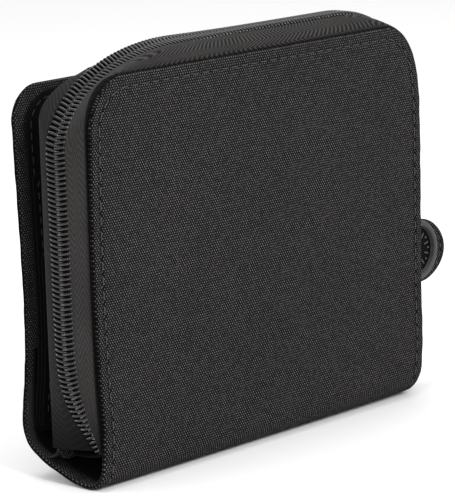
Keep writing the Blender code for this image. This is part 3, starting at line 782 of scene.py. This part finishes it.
def zip_coil(name, sgn, body, node):
    """One side of the coil: a stiff round filament wound flat, its heads meeting
    the other side's in the middle of the chain."""
    pitch = 1.36
    p, t, o, side = frames(ST, 1.0, CHAIN_Y, 1.0)
    seg = np.concatenate([[0], np.cumsum(np.linalg.norm(np.diff(p, axis=0), axis=1))])
    n = int(seg[-1] / pitch)
    # one turn as (along, across from the middle, height)
    turn = [
        (-0.30, 3.1, 0.1), (-0.24, 2.2, 0.0), (-0.16, 1.2, 0.0), (-0.10, 0.25, 0.12), (-0.06, -0.5, 0.5),
        (0.0, -0.8, 1.0), (0.06, -0.5, 1.5), (0.16, 0.35, 1.82), (0.32, 1.4, 1.95), (0.48, 2.4, 1.85), (0.58, 3.1, 1.5), (0.64, 3.3, 0.85),
    ]
    pts = []
    for k in range(5 if sgn < 0 else 0, n):  # the front side's first turns are cut off under the panel's hem
        s0 = (k + (0.25 if sgn < 0 else 0.75)) * pitch
        for a, w, h in turn:
            s = s0 + a * pitch * 1.0
            q = np.array([np.interp(s, seg, p[:, i]) for i in range(3)])
            oo = np.array([np.interp(s, seg, o[:, i]) for i in range(3)])
            ss = np.array([np.interp(s, seg, side[:, i]) for i in range(3)])
            pts.append(q + ss * sgn * w + oo * (h - 1.15))
    pts = np.array(pts)
    # smooth the turns
    fine = catmull(pts, 2)
    v, f, uv = tube_mesh([fine], 0.42, 8, None, 1.0, True)
    ob = build(name, v, f, COIL, uv, 80)
    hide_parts(node)
    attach(ob, body)
    return ob


zip_coil("front_coil", -1, "front_panel", "front_zip_coil")
zip_coil("rear_coil", +1, "compartment", "rear_zip_coil")


def chain_threads(name, sgn, body):
    """The filler cord inside a coil, and the row of thread that sews it down."""
    p, t, o, side = frames(ST, 1.0, CHAIN_Y, 1.0)
    pitch = 1.36
    seg = np.concatenate([[0], np.cumsum(np.linalg.norm(np.diff(p, axis=0), axis=1))])
    q = np.arange(6.6 if sgn < 0 else 0.4, seg[-1] - 0.4, pitch / 4)
    base = np.stack([np.interp(q, seg, p[:, i]) for i in range(3)], 1)
    oo = np.stack([np.interp(q, seg, o[:, i]) for i in range(3)], 1)
    ss = np.stack([np.interp(q, seg, side[:, i]) for i in range(3)], 1)
    verts, faces, uvs = [], [], []
    for w, h, rw, rh in ((1.55, -0.25, 1.45, 0.62), (2.75, 0.62, 0.22, 0.22)):
        base_n = len(verts)
        for i in range(len(q)):
            lift = 0.16 * math.cos(2 * math.pi * q[i] / pitch) if rw < 1 else 0.0
            for j in range(10):
                a = 2 * math.pi * j / 10
                verts.append(base[i] + ss[i] * sgn * (w + rw * math.cos(a)) + oo[i] * (h + lift + rh * math.sin(a)))
                uvs.append((q[i], j * 0.3))
        m = len(q)
        for i in range(m - 1):
            for j in range(10):
                a, b = base_n + i * 10 + j, base_n + i * 10 + (j + 1) % 10
                faces.append((a, b, b + 10, a + 10))
        faces.append(tuple(base_n + j for j in range(10))[::-1])
        faces.append(tuple(base_n + (m - 1) * 10 + j for j in range(10)))
    ob = build(name, verts, faces, CORD, np.array(uvs), 80)
    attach(ob, body)
    return ob


chain_threads("front_coil_threads", -1, "front_panel")
chain_threads("rear_coil_threads", +1, "compartment")


# =================================================================== flat inner layers
def closed_rings(hw, z0, z1, rt, rb, ds, n_x=50, n_z=40, n_a=8):
    """Insets of a closed outline in (x, z), with the same number of stations on
    opposite sides."""
    out = []
    half = (z1 - z0) / 2
    for d in ds:
        w, a, b = hw - d, z0 + d, z1 - d
        k = math.exp(-d / 8.0)
        r1, r0 = min(rt * k, w, half), min(rb * k, w, half)
        line = []

        def arc(cx, cz, r, a0):
            for i in range(n_a):
                t = math.radians(a0 - 90 * i / n_a)
                line.append((cx + r * math.cos(t), cz + r * math.sin(t)))

        for i in range(n_z):
            line.append((-w, a + r0 + (b - r1 - a - r0) * i / n_z))
        arc(-w + r1, b - r1, r1, 180)
        for i in range(n_x):
            line.append((-w + r1 + (2 * w - 2 * r1) * i / n_x, b))
        arc(w - r1, b - r1, r1, 90)
        for i in range(n_z):
            line.append((w, b - r1 + (a + r0 - b + r1) * i / n_z))
        arc(w - r0, a + r0, r0, 0)
        for i in range(n_x):
            line.append((w - r0 + (-2 * w + 2 * r0) * i / n_x, a))
        arc(-w + r0, a + r0, r0, -90)
        line.append(line[0])
        out.append(line)
    return np.array(out).transpose(1, 0, 2)


def flat_layer(name, face_y, way, thick, hw, z0, z1, rt, rb, mat, body, nodes, wave=0.15, seed=0.0, groove=0.2, bow=None):
    """A thin sheet facing way (-1 front, +1 rear) with a folded, stitched edge."""
    half = (z1 - z0) / 2
    ds = [d for d in (0, 0.05, 0.18, 0.4, 0.9, 1.5, 2.0, 2.3, 2.6, 3.2, 4.5, 7, 11, 16, 22, 28, 34, 40, 46, 50) if d < min(half, hw) - 1.5]
    R = closed_rings(hw, z0, z1, rt, rb, ds)
    x, z = R[..., 0], R[..., 1]
    d = np.array(ds)[None, :].repeat(len(R), 0)
    roll = min(0.4, thick / 2)
    h = np.where(d < roll, -roll + np.sqrt(np.maximum(roll**2 - (roll - d) ** 2, 0)), 0.0) - groove * np.exp(-(((d - 2.0) / 0.35) ** 2))
    h = np.maximum(h, -thick * 0.7)
    inner = np.clip(d / 8.0, 0, 1)
    y = face_y + way * (h + inner * wave * wobble(x, z, 1.0, seed))
    yb = face_y - way * (thick + np.where(d < roll, -roll + np.sqrt(np.maximum(roll**2 - (roll - d) ** 2, 0)), 0.0)) + way * inner * wave * wobble(x, z, 1.0, seed)
    if bow is not None:
        y = y + bow(z)
        yb = yb + bow(z)
    top = np.stack([x, y, z], -1)
    bot = np.stack([x, yb, z], -1)
    bot[:, 0] = top[:, 0]
    # close the middle with the last ring's points drawn to its own middle line
    zm, lim = (z0 + z1) / 2, hw - half
    run = np.linspace(-lim, lim, 51)
    xm = np.concatenate([[-lim] * 48, run[:-1], [lim] * 56, run[::-1][:-1], [-lim] * 9])
    ym = face_y + way * wave * wobble(xm, np.full(len(xm), zm), 1.0, seed)
    if bow is not None:
        ym = ym + bow(np.full(len(xm), zm))
    mid = np.stack([xm, ym, np.full(len(xm), zm)], -1)[:, None]
    midb = mid - np.array([0, way * thick, 0])
    top = np.concatenate([top, mid], 1)
    bot = np.concatenate([bot, midb], 1)
    uv = np.stack([top[..., 0], top[..., 2]], -1)
    nu, nv = top.shape[:2]
    n = nu * nv
    faces = []
    for i in range(nu - 1):
        for j in range(nv - 1):
            a, b, c, e = i * nv + j, (i + 1) * nv + j, (i + 1) * nv + j + 1, i * nv + j + 1
            faces.append((a, b, c, e))
            faces.append((n + e, n + c, n + b, n + a))
    verts = np.concatenate([top.reshape(-1, 3), bot.reshape(-1, 3)])
    ob = build(name, verts, faces, mat, np.concatenate([uv.reshape(-1, 2)] * 2), 60, 0.004)
    if nodes:
        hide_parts(*nodes)
    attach(ob, body)
    R = closed_rings(hw, z0, z1, rt, rb, [2.0], 100, 80, 16)[:, 0]
    p = np.stack([R[:, 0], np.full(len(R), face_y - way * groove * 0.6), R[:, 1]], -1)
    if bow is not None:
        p[:, 1] += bow(R[:, 1])
    nn = np.zeros_like(p)
    nn[:, 1] = way
    row = stitches(name + "_stitch", p, nn, THREAD if mat is SHELL else LINING_THREAD, 2.4, 0.9, 0.14, 0.08)
    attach(row, body)
    return ob


def cover_bow(z):
    """How far the cover stands forward of its flat plane at a height."""
    s = np.interp(z, COVER_PROFILE[::-1, 1], COVER_PROFILE[::-1, 0])
    return np.where(z > 12, s - 14.3, -0.3)


flat_layer("divider_shell", 2.75, +1, 1.5, DIV_HW - 1.2, 6.2, DIV_TOP - 0.6, DIV_R + 1.0, 3.0, SHELL, "compartment", ["divider_outer_fabric"], 0.2, 1.0, 0.3)
flat_layer("divider_lining_sheet", -0.35, -1, 0.6, DIV_HW - 3.0, 8.0, DIV_TOP - 1.6, DIV_R, 3.0, INNER, "compartment", ["divider_lining"], 0.15, 3.0)
flat_layer("front_lining_sheet", -13.1, +1, 0.6, PANEL_HW - 3.2, 10.2, PANEL_TOP - 2.6, PANEL_R, 3.0, INNER, "front_panel", ["front_lining"], 0.15, 4.0)
flat_layer("cover_lining_sheet", 11.3, -1, 0.6, COVER_HW - 1.4, 12.2, COVER_TOP - 1.4, COVER_R, 3.0, INNER, "back_cover", ["cover_lining"], 0.12, 5.0, bow=cover_bow)
flat_layer("card_pocket_rear_sheet", 10.5, -1, 0.55, COVER_HW - 1.9, 12.4, 84.0, 2.0, 3.0, INNER, "back_cover", ["card_pocket_rear"], 0.12, 6.0, bow=cover_bow)
flat_layer("card_pocket_front_sheet", 9.7, -1, 0.55, COVER_HW - 2.4, 12.6, 62.0, 2.0, 3.0, INNER, "back_cover", ["card_pocket_front"], 0.12, 7.0, bow=cover_bow)

def board(name, y, hw, z0, z1, body, node, bow=None):
    """A thin stiffener, wholly inside its panel."""
    zs = np.linspace(z0, z1, 24)
    yy = np.full(24, y) + (bow(zs) if bow is not None else 0.0)
    top = np.array([[(x, a - 0.4, b) for x in (-hw, hw)] for a, b in zip(yy, zs)])
    bot = top + np.array([0, 0.8, 0])
    uv = top[..., [0, 2]]
    ob = slab(name, top, bot, BOARD, uv, 60)
    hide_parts(node)
    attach(ob, body)


board("front_board", -13.95, 62.0, 14.0, 106.0, "front_panel", "front_stiffener_board")
board("divider_board", 0.75, 60.0, 12.0, 103.0, "compartment", "divider_stiffener_board")
board("cover_board", 12.35, 62.0, 16.0, 102.0, "back_cover", "cover_stiffener_board", cover_bow)

for node, mat in (("snap_stud_washer", NICKEL),):
    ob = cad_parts[node]
    for s in ob.material_slots:
        s.link = "OBJECT"
        s.material = mat


def strip(name, profile, x0, x1, thick, mat, nx=70, sag=None, bell=0.0):
    """A cloth strip along X with a section given as (y, z)."""
    prof, s = resample(catmull(profile, 8), 0.8)
    xs = np.linspace(x0, x1, nx)
    P = np.zeros((nx, len(prof), 3))
    P[..., 0] = xs[:, None]
    P[..., 1] = prof[None, :, 0]
    P[..., 2] = prof[None, :, 1]
    if sag is not None:
        P[..., 2] += sag(xs)[:, None]
    P[..., 2] += 0.15 * wobble(P[..., 0], s[None, :] * 2, 1.3, 8.0) * bell
    t = np.gradient(prof, axis=0)
    t /= np.linalg.norm(t, axis=1)[:, None]
    n = np.zeros_like(P)
    n[..., 1] = -t[None, :, 1]
    n[..., 2] = t[None, :, 0]
    ease = np.ones(nx)
    ease[0] = ease[-1] = 0.25
    ease[1] = ease[-2] = 0.8
    uv = np.stack(np.meshgrid(xs, s, indexing="ij"), -1)
    th = thick / 2 * ease[:, None, None]
    return slab(name, P + n * th, P - n * th, mat, uv, 70)


fold = strip("passport_fold_sheet", [(11.7, 36.0), (12.6, 22.0), (12.8, 14.6), (11.4, 10.3), (8.6, 7.9), (5.4, 6.7), (2.6, 8.0), (1.1, 11.0), (0.9, 16.0), (1.3, 24.0), (1.6, 36.0)], -(COVER_W - 0.7), 68.4, 1.2, FOLD, bell=0.6)
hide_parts("passport_fold_lining")
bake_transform(fold)

floor_sheet = strip(
    "compartment_floor_sheet",
    [(-12.6, 10.5), (-12.0, 8.6), (-9.0, 7.2), (-5.0, 6.8), (-2.0, 7.4), (-0.9, 9.5)],
    -67.0, 67.0, 0.6, INNER, 70, lambda x: 1.2 * (np.abs(x) / 67.0) ** 6, 1.0,
)
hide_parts("compartment_floor_lining", "spine_outer_fabric")
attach(floor_sheet, "compartment")


# =================================================================== closure tab
TAB_Z, TAB_HALF = 38.5, 9.75
TAB_Y = 4.4
SNAP_X = (CAP_LO[0] + CAP_HI[0]) / 2


def tab_drop(x):
    k = np.clip((x - 80.0) / 12.0, 0, 1)
    return -1.1 * k * k * (3 - 2 * k)


def tab_piece(name, x0, x1, round_end, y_of, nodes):
    """A doubled strap with turned, stitched edges; the free end is half round."""
    ds = [0, 0.06, 0.2, 0.45, 0.8, 1.2, 1.5, 1.7, 1.9, 2.3, 3.2, 4.6, 6.5, 8.2, 9.75]
    nx = 44
    cols = []
    for d in ds:
        w = TAB_HALF - d
        line = []
        xe = SNAP_X
        xs = np.linspace(x0, xe if round_end else x1, nx)
        for x in xs:
            line.append((x, w))
        if round_end:
            for i in range(33):
                a = math.pi / 2 - math.pi * i / 32
                line.append((xe + 4.6 + (10.3 - d) * math.cos(a), w * math.sin(a)))
            for x in xs[::-1]:
                line.append((x, -w))
        cols.append(line)
    R = np.array(cols).transpose(1, 0, 2)
    if not round_end:
        R2 = R.copy()
        R2[..., 1] *= -1
        R = np.concatenate([R, R2[:, ::-1][:, 1:]], 1)
        d = np.concatenate([ds, ds[::-1][1:]])
    else:
        d = np.array(ds, float)
    d = np.asarray(d, float)[None, :].repeat(len(R), 0)
    x, z = R[..., 0], R[..., 1] + TAB_Z + tab_drop(R[..., 0])
    roll = 0.75
    h = np.where(d < roll, -roll + np.sqrt(np.maximum(roll**2 - (roll - d) ** 2, 0)), 0.0) - 0.22 * np.exp(-(((d - 1.7) / 0.3) ** 2)) + 0.75
    y = y_of(x)
    front = np.stack([x, y - h, z], -1)
    back = np.stack([x, y + h, z], -1)
    ob = slab(name, front, back, SHELL, np.stack([x, z], -1), 60, 0.01, not round_end)
    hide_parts(*nodes)
    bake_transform(ob)
    return ob


def tab_curve(x):
    t = np.clip((x - 60.0) / 14.0, 0, 1)
    k = np.clip((x - 95.0) / 8.0, 0, 1)
    return 3.75 + (TAB_Y - 3.75) * t * t * (3 - 2 * t) - 1.3 * k * k


SPLIT_X = 75.4
tab_piece("tab_root_strap", 52.5, SPLIT_X, False, tab_curve, ["tab_anchor", "tab_root_fabric"])
tab_piece("tab_end_strap", SPLIT_X, 99.0, True, tab_curve, ["tab_end_fabric"])


def tab_stitch(name, way, x0, x1, round_end):
    pts = []
    w = TAB_HALF - 1.7
    for x in np.linspace(x0, SNAP_X if round_end else x1, 60):
        pts.append((x, w))
    if round_end:
        for i in range(1, 60):
            a = math.pi / 2 - math.pi * i / 60
            pts.append((SNAP_X + 4.6 + 8.6 * math.cos(a), w * math.sin(a)))
        for x in np.linspace(SNAP_X, x0, 60):
            pts.append((x, -w))
    pts = np.array(pts)
    rows = [pts] if round_end else [pts, pts * np.array([1, -1])]
    vs, fs, us = [], [], []
    for k, r in enumerate(rows):
        p = np.stack([r[:, 0], tab_curve(r[:, 0]) + way * 0.58, r[:, 1] + TAB_Z + tab_drop(r[:, 0])], -1)
        n = np.zeros_like(p)
        n[:, 1] = way
        ob = stitches(name + ("" if len(rows) == 1 else "_" + "ab"[k]), p, n, THREAD, 2.0, 0.8, 0.16, 0.1)
        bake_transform(ob)


tab_stitch("tab_end_stitch_front", -1, SPLIT_X, 99, True)
tab_stitch("tab_end_stitch_rear", +1, SPLIT_X, 99, True)
tab_stitch("tab_root_stitch_front", -1, 53.5, SPLIT_X, False)
tab_stitch("tab_root_stitch_rear", +1, 53.5, SPLIT_X, False)


# =================================================================== turned hardware
def lathe(name, profile, centre, way, mat, body, nodes, n=72, sharp=35):
    """Turned about Y; profile lists (radius, depth) from the outer face inwards.
    way -1 puts the outer face to the front."""
    prof = np.array(profile, float)
    verts = []
    for i in range(n):
        a = 2 * math.pi * i / n
        for r, dpt in prof:
            verts.append((centre[0] + r * math.cos(a), centre[1] - way * dpt, centre[2] + r * math.sin(a)))
    m = len(prof)
    faces = []
    for i in range(n):
        for j in range(m - 1):
            a, b = i * m + j, ((i + 1) % n) * m + j
            faces.append((a, b, b + 1, a + 1))
    ob = build(name, verts, faces, mat, None, sharp, 0.003)
    if nodes:
        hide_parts(*nodes)
    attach(ob, body)
    return ob


def smooth_profile(pts, n=6):
    c = catmull(pts, n)
    c[:, 0] = np.maximum(c[:, 0], 0)
    return c


cap_y = CAP_LO[1]
lathe(
    "snap_cap_rim",
    [
        (6.9, 1.42), (7.2, 1.32), (7.36, 1.1), (7.5, 0.6), (7.62, 0.25), (7.85, 0.06), (8.2, 0.0), (8.6, 0.02), (8.98, 0.12), (9.2, 0.36), (9.32, 0.75), (9.34, 1.15),
        (9.2, 1.45), (8.8, 1.6), (8.5, 1.7), (8.5, 1.95), (8.8, 2.05), (8.8, 2.3), (8.0, 2.45), (1.7, 2.5), (1.7, 4.85), (0.0, 4.9), (0.0, 1.6), (6.7, 1.6), (6.9, 1.42),
    ],
    (SNAP_X, cap_y, TAB_Z), -1, CAP, "closure_tab_end", ["snap_cap"],
)
# the dish's face, painted far darker than the rim as the shade in the dish
lathe(
    "snap_cap_face",
    [(0.0, 1.18), (1.3, 1.18), (1.45, 1.02), (1.85, 1.02), (2.0, 1.2), (5.0, 1.22), (6.95, 1.2), (7.25, 1.3), (7.15, 1.5), (0.0, 1.55)],
    (SNAP_X, cap_y, TAB_Z), -1, CAP_FACE_PAINTED_SHADE, "closure_tab_end", [],
)
# raised marks on the dish: a ring of plain bars and a ring of pips, no lettering
bars, ups = [], []
for i in range(20):
    a = 2 * math.pi * i / 20
    r0, r1 = (3.9, 6.1) if i % 2 else (5.1, 6.1)
    line = [(SNAP_X + r * math.cos(a), cap_y + 1.12, TAB_Z + r * math.sin(a)) for r in np.linspace(r0, r1, 5)]
    bars.append(line)
    ups.append((0, -1, 0))
v, f, uv = tube_mesh(bars, 0.3, 8, ups, 0.9)
marks = build("snap_cap_marks", v, f, CAP, uv, 80)
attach(marks, "closure_tab_end")

sock = TAB_Y + 0.7 + 0.3
lathe(
    "snap_socket_ring",
    [(2.5, 1.35), (2.5, 0.25), (2.62, 0.08), (2.85, 0.0), (3.3, 0.0), (3.6, 0.12), (3.8, 0.42), (4.3, 0.5), (4.9, 0.55), (5.2, 0.7), (5.35, 0.95), (5.3, 1.3), (5.0, 1.4), (2.5, 1.4), (2.5, 1.35)],
    (SNAP_X, sock + 1.4, TAB_Z), 1, NICKEL, "closure_tab_end", ["snap_socket"],
)
stud_c = ((STUD_LO[0] + STUD_HI[0]) / 2 , STUD_HI[1], TAB_Z)
STUD_X = 62.0
lathe(
    "snap_stud_turned",
    [
        (0.0, 0.35), (0.9, 0.32), (1.25, 0.1), (1.6, 0.0), (1.95, 0.08), (2.25, 0.35), (2.32, 0.75), (2.2, 1.15), (1.95, 1.5), (1.85, 1.75), (2.1, 1.95), (3.0, 2.02), (4.4, 2.1),
        (5.0, 2.22), (5.32, 2.45), (5.38, 2.75), (5.1, 2.98), (1.75, 3.05), (1.7, 5.4), (1.2, 5.6), (0.0, 5.6),
    ],
    (STUD_X, STUD_HI[1], TAB_Z), 1, NICKEL, "back_cover", ["snap_stud"],
)


# =================================================================== slider, pull and stops
def extrude_outline(name, loop, axis, lo, hi, bevel, mat, body, nodes, holes=(), segs=3):
    """A flat outline made solid between lo and hi along an axis, edges rounded.
    axis Y: outline (x, z). axis X: outline (y, z)."""
    cu = bpy.data.curves.new(name + "_outline", "CURVE")
    cu.dimensions = "2D"
    cu.fill_mode = "BOTH"
    cu.extrude = max((hi - lo) / 2 - bevel, 0.01) * MM
    cu.bevel_depth = bevel * MM
    cu.bevel_resolution = segs
    cu.offset = -bevel * MM
    for pts in [loop, *holes]:
        sp = cu.splines.new("POLY")
        sp.points.add(len(pts) - 1)
        for q, (a, b) in zip(sp.points, pts):
            q.co = (a * MM, b * MM, 0, 1)
        sp.use_cyclic_u = True
    tmp = bpy.data.objects.new(name + "_tmp", cu)
    bpy.context.scene.collection.objects.link(tmp)
    mid = (lo + hi) / 2 * MM
    if axis == "Y":
        tmp.matrix_world = Matrix.Translation((0, mid, 0)) @ Matrix.Rotation(math.pi / 2, 4, "X")
    else:
        tmp.matrix_world = Matrix.Translation((mid, 0, 0)) @ Matrix(((0, 0, 1, 0), (1, 0, 0, 0), (0, 1, 0, 0), (0, 0, 0, 1)))
    bpy.context.view_layer.update()
    me = bpy.data.meshes.new_from_object(tmp.evaluated_get(bpy.context.evaluated_depsgraph_get()))
    me.transform(tmp.matrix_world)
    bpy.data.objects.remove(tmp)
    bm = bmesh.new()
    bm.from_mesh(me)
    bmesh.ops.remove_doubles(bm, verts=bm.verts, dist=2e-6)
    bmesh.ops.dissolve_degenerate(bm, edges=bm.edges, dist=1e-7)
    bmesh.ops.recalc_face_normals(bm, faces=bm.faces)
    bm.to_mesh(me)
    bm.free()
    me.materials.clear()
    me.materials.append(mat)
    me.shade_smooth()
    me.set_sharp_from_angle(angle=math.radians(40))
    me.name = name
    ob = bpy.data.objects.new(name, me)
    bpy.context.scene.collection.objects.link(ob)
    if nodes:
        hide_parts(*nodes)
    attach(ob, body)
    return ob


def rounded_loop(pts, r, n=5):
    """A polygon with its corners rounded."""
    pts = [np.array(p, float) for p in pts]
    out = []
    m = len(pts)
    for i in range(m):
        a, b, c = pts[i - 1], pts[i], pts[(i + 1) % m]
        u, w = a - b, c - b
        lu, lw = np.linalg.norm(u), np.linalg.norm(w)
        k = min(r, lu * 0.45, lw * 0.45)
        p0, p1 = b + u / lu * k, b + w / lw * k
        for t in np.linspace(0, 1, n):
            out.append(tuple((1 - t) ** 2 * p0 + 2 * t * (1 - t) * b + t * t * p1))
    return out


SX, SZ = 71.6, 24.0
SY = CHAIN_Y
shoulder = [(SY - 2.2, SZ - 4.5), (SY + 2.2, SZ - 4.5), (SY + 3.6, SZ - 2.4), (SY + 3.4, SZ + 1.0), (SY + 3.0, SZ + 4.5), (SY - 3.0, SZ + 4.5), (SY - 3.4, SZ + 1.0), (SY - 3.6, SZ - 2.4)]
extrude_outline("slider_face_plate", rounded_loop(shoulder, 1.6), "X", SX + 1.55, SX + 2.85, 0.35, BLACK_METAL, "zip_slider", ["slider_body"])
extrude_outline("slider_rear_plate", rounded_loop(shoulder, 1.6), "X", SX - 2.8, SX - 1.6, 0.3, BLACK_METAL, "zip_slider", [])
extrude_outline("slider_neck", rounded_loop([(SY - 0.35, SZ - 4.2), (SY + 0.35, SZ - 4.2), (SY + 0.35, SZ - 1.4), (SY - 0.35, SZ - 1.4)], 0.2), "X", SX - 2.4, SX + 2.2, 0.05, BLACK_METAL, "zip_slider", [])
arch = [(3.0, -3.6), (4.4, -3.6), (6.2, -2.6), (6.2, 2.6), (4.4, 3.6), (3.0, 3.6), (3.0, 2.4), (4.2, 2.4), (5.0, 1.9), (5.0, -1.9), (4.2, -2.4), (3.0, -2.4)]
extrude_outline("slider_bail_arch", rounded_loop([(SX + a, SZ + b) for a, b in arch], 0.6), "Y", SY - 0.8, SY + 0.8, 0.25, BLACK_METAL, "zip_slider", ["slider_bail"])
hw = 2.8
pull = [
    (SY - hw, SZ + 0.7), (SY - hw, SZ - 6.5), (SY - hw + 0.7, SZ - 9.0), (SY - hw + 0.2, SZ - 12.0), (SY - hw + 0.2, SZ - 17.6), (SY - hw + 1.6, SZ - 19.0),
    (SY + hw - 1.6, SZ - 19.0), (SY + hw - 0.2, SZ - 17.6), (SY + hw - 0.2, SZ - 12.0), (SY + hw - 0.7, SZ - 9.0), (SY + hw, SZ - 6.5), (SY + hw, SZ + 0.7),
]
slot_loop = [(SY - 1.5, SZ - 0.65), (SY - 1.5, SZ - 5.8), (SY - 0.8, SZ - 6.5), (SY + 0.8, SZ - 6.5), (SY + 1.5, SZ - 5.8), (SY + 1.5, SZ - 0.65)]
grip = [(SY - 1.35, SZ - 12.6), (SY - 1.35, SZ - 16.9), (SY + 1.35, SZ - 16.9), (SY + 1.35, SZ - 12.6)]
extrude_outline("zip_pull_tongue", rounded_loop(pull, 1.0), "X", SX + 3.4, SX + 4.4, 0.24, BLACK_METAL, "pull", ["zip_pull"], [rounded_loop(slot_loop, 0.5), rounded_loop(grip, 0.9)])

for node in ("zip_stop_left", "zip_stop_right"):
    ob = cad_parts[node]
    for s in ob.material_slots:
        s.link = "OBJECT"
        s.material = BLACK_METAL


# =================================================================== floor, light, camera
def plain(name, col, rough):
    N = Nodes(name)
    f = N.noise(3.0, 4.0, 0.5, N.obj())
    N.nt.links.new(N.mix(f, (*[c * 0.985 for c in col], 1), (*col, 1)), N.p.inputs["Base Color"])
    N.p.inputs["Roughness"].default_value = rough
    return N.mat


bpy.ops.mesh.primitive_plane_add(size=8.0, location=(0, 0, -0.00005))
ground = bpy.context.object
ground.name = "floor"
ground.data.materials.append(plain("pale_floor", (0.86, 0.86, 0.86), 0.7))

world = bpy.data.worlds.new("studio")
bpy.context.scene.world = world
world.use_nodes = True
bg = world.node_tree.nodes["Background"]
bg.inputs[0].default_value = (1.0, 1.0, 1.0, 1)
bg.inputs[1].default_value = 1.0


def area(name, loc, target, size, power, col=(1, 1, 1)):
    li = bpy.data.lights.new(name, "AREA")
    li.shape = "RECTANGLE"
    li.size, li.size_y = size
    li.energy = power
    li.color = col
    ob = bpy.data.objects.new(name, li)
    bpy.context.scene.collection.objects.link(ob)
    ob.location = loc
    ob.rotation_mode = "QUATERNION"
    ob.rotation_quaternion = (Vector(target) - Vector(loc)).to_track_quat("-Z", "Y")
    return ob


area("key", (-0.15, -0.75, 0.65), (0, 0, 0.05), (0.4, 0.3), 5.0)
area("left", (-0.80, -0.28, 0.30), (-0.05, 0, 0.06), (0.08, 0.14), 1.4)
area("rear_left", (-0.45, 0.85, 0.30), (-0.05, 0, 0.06), (0.05, 0.1), 0.6)
area("top", (0.0, 0.1, 0.9), (0, 0, 0.05), (0.6, 0.6), 3.0)

A, E, ROLL = math.radians(-47.73), math.radians(10.83), math.radians(-1.80)
back = Vector((math.sin(A) * math.cos(E), -math.cos(A) * math.cos(E), math.sin(E)))
right = Vector((math.cos(A), math.sin(A), 0))
up = back.cross(right)
r2 = right * math.cos(ROLL) + up * math.sin(ROLL)
u2 = -right * math.sin(ROLL) + up * math.cos(ROLL)
cam_data = bpy.data.cameras.new("camera")
cam = bpy.data.objects.new("camera", cam_data)
bpy.context.scene.collection.objects.link(cam)
cam_data.sensor_width = 36.0
cam_data.lens = 3201.0 / 500.0 * 36.0
cam_data.shift_x = -0.8 / 500
cam_data.shift_y = -11.3 / 500
cam_data.clip_start, cam_data.clip_end = 0.05, 20
rot = Matrix((r2, u2, back)).transposed()
cam.matrix_world = Matrix.Translation(Vector((0, 0, 0.0565)) + back * (8.408 * 0.108)) @ rot.to_4x4()
bpy.context.scene.camera = cam
bpy.context.scene.view_settings.view_transform = "Standard"
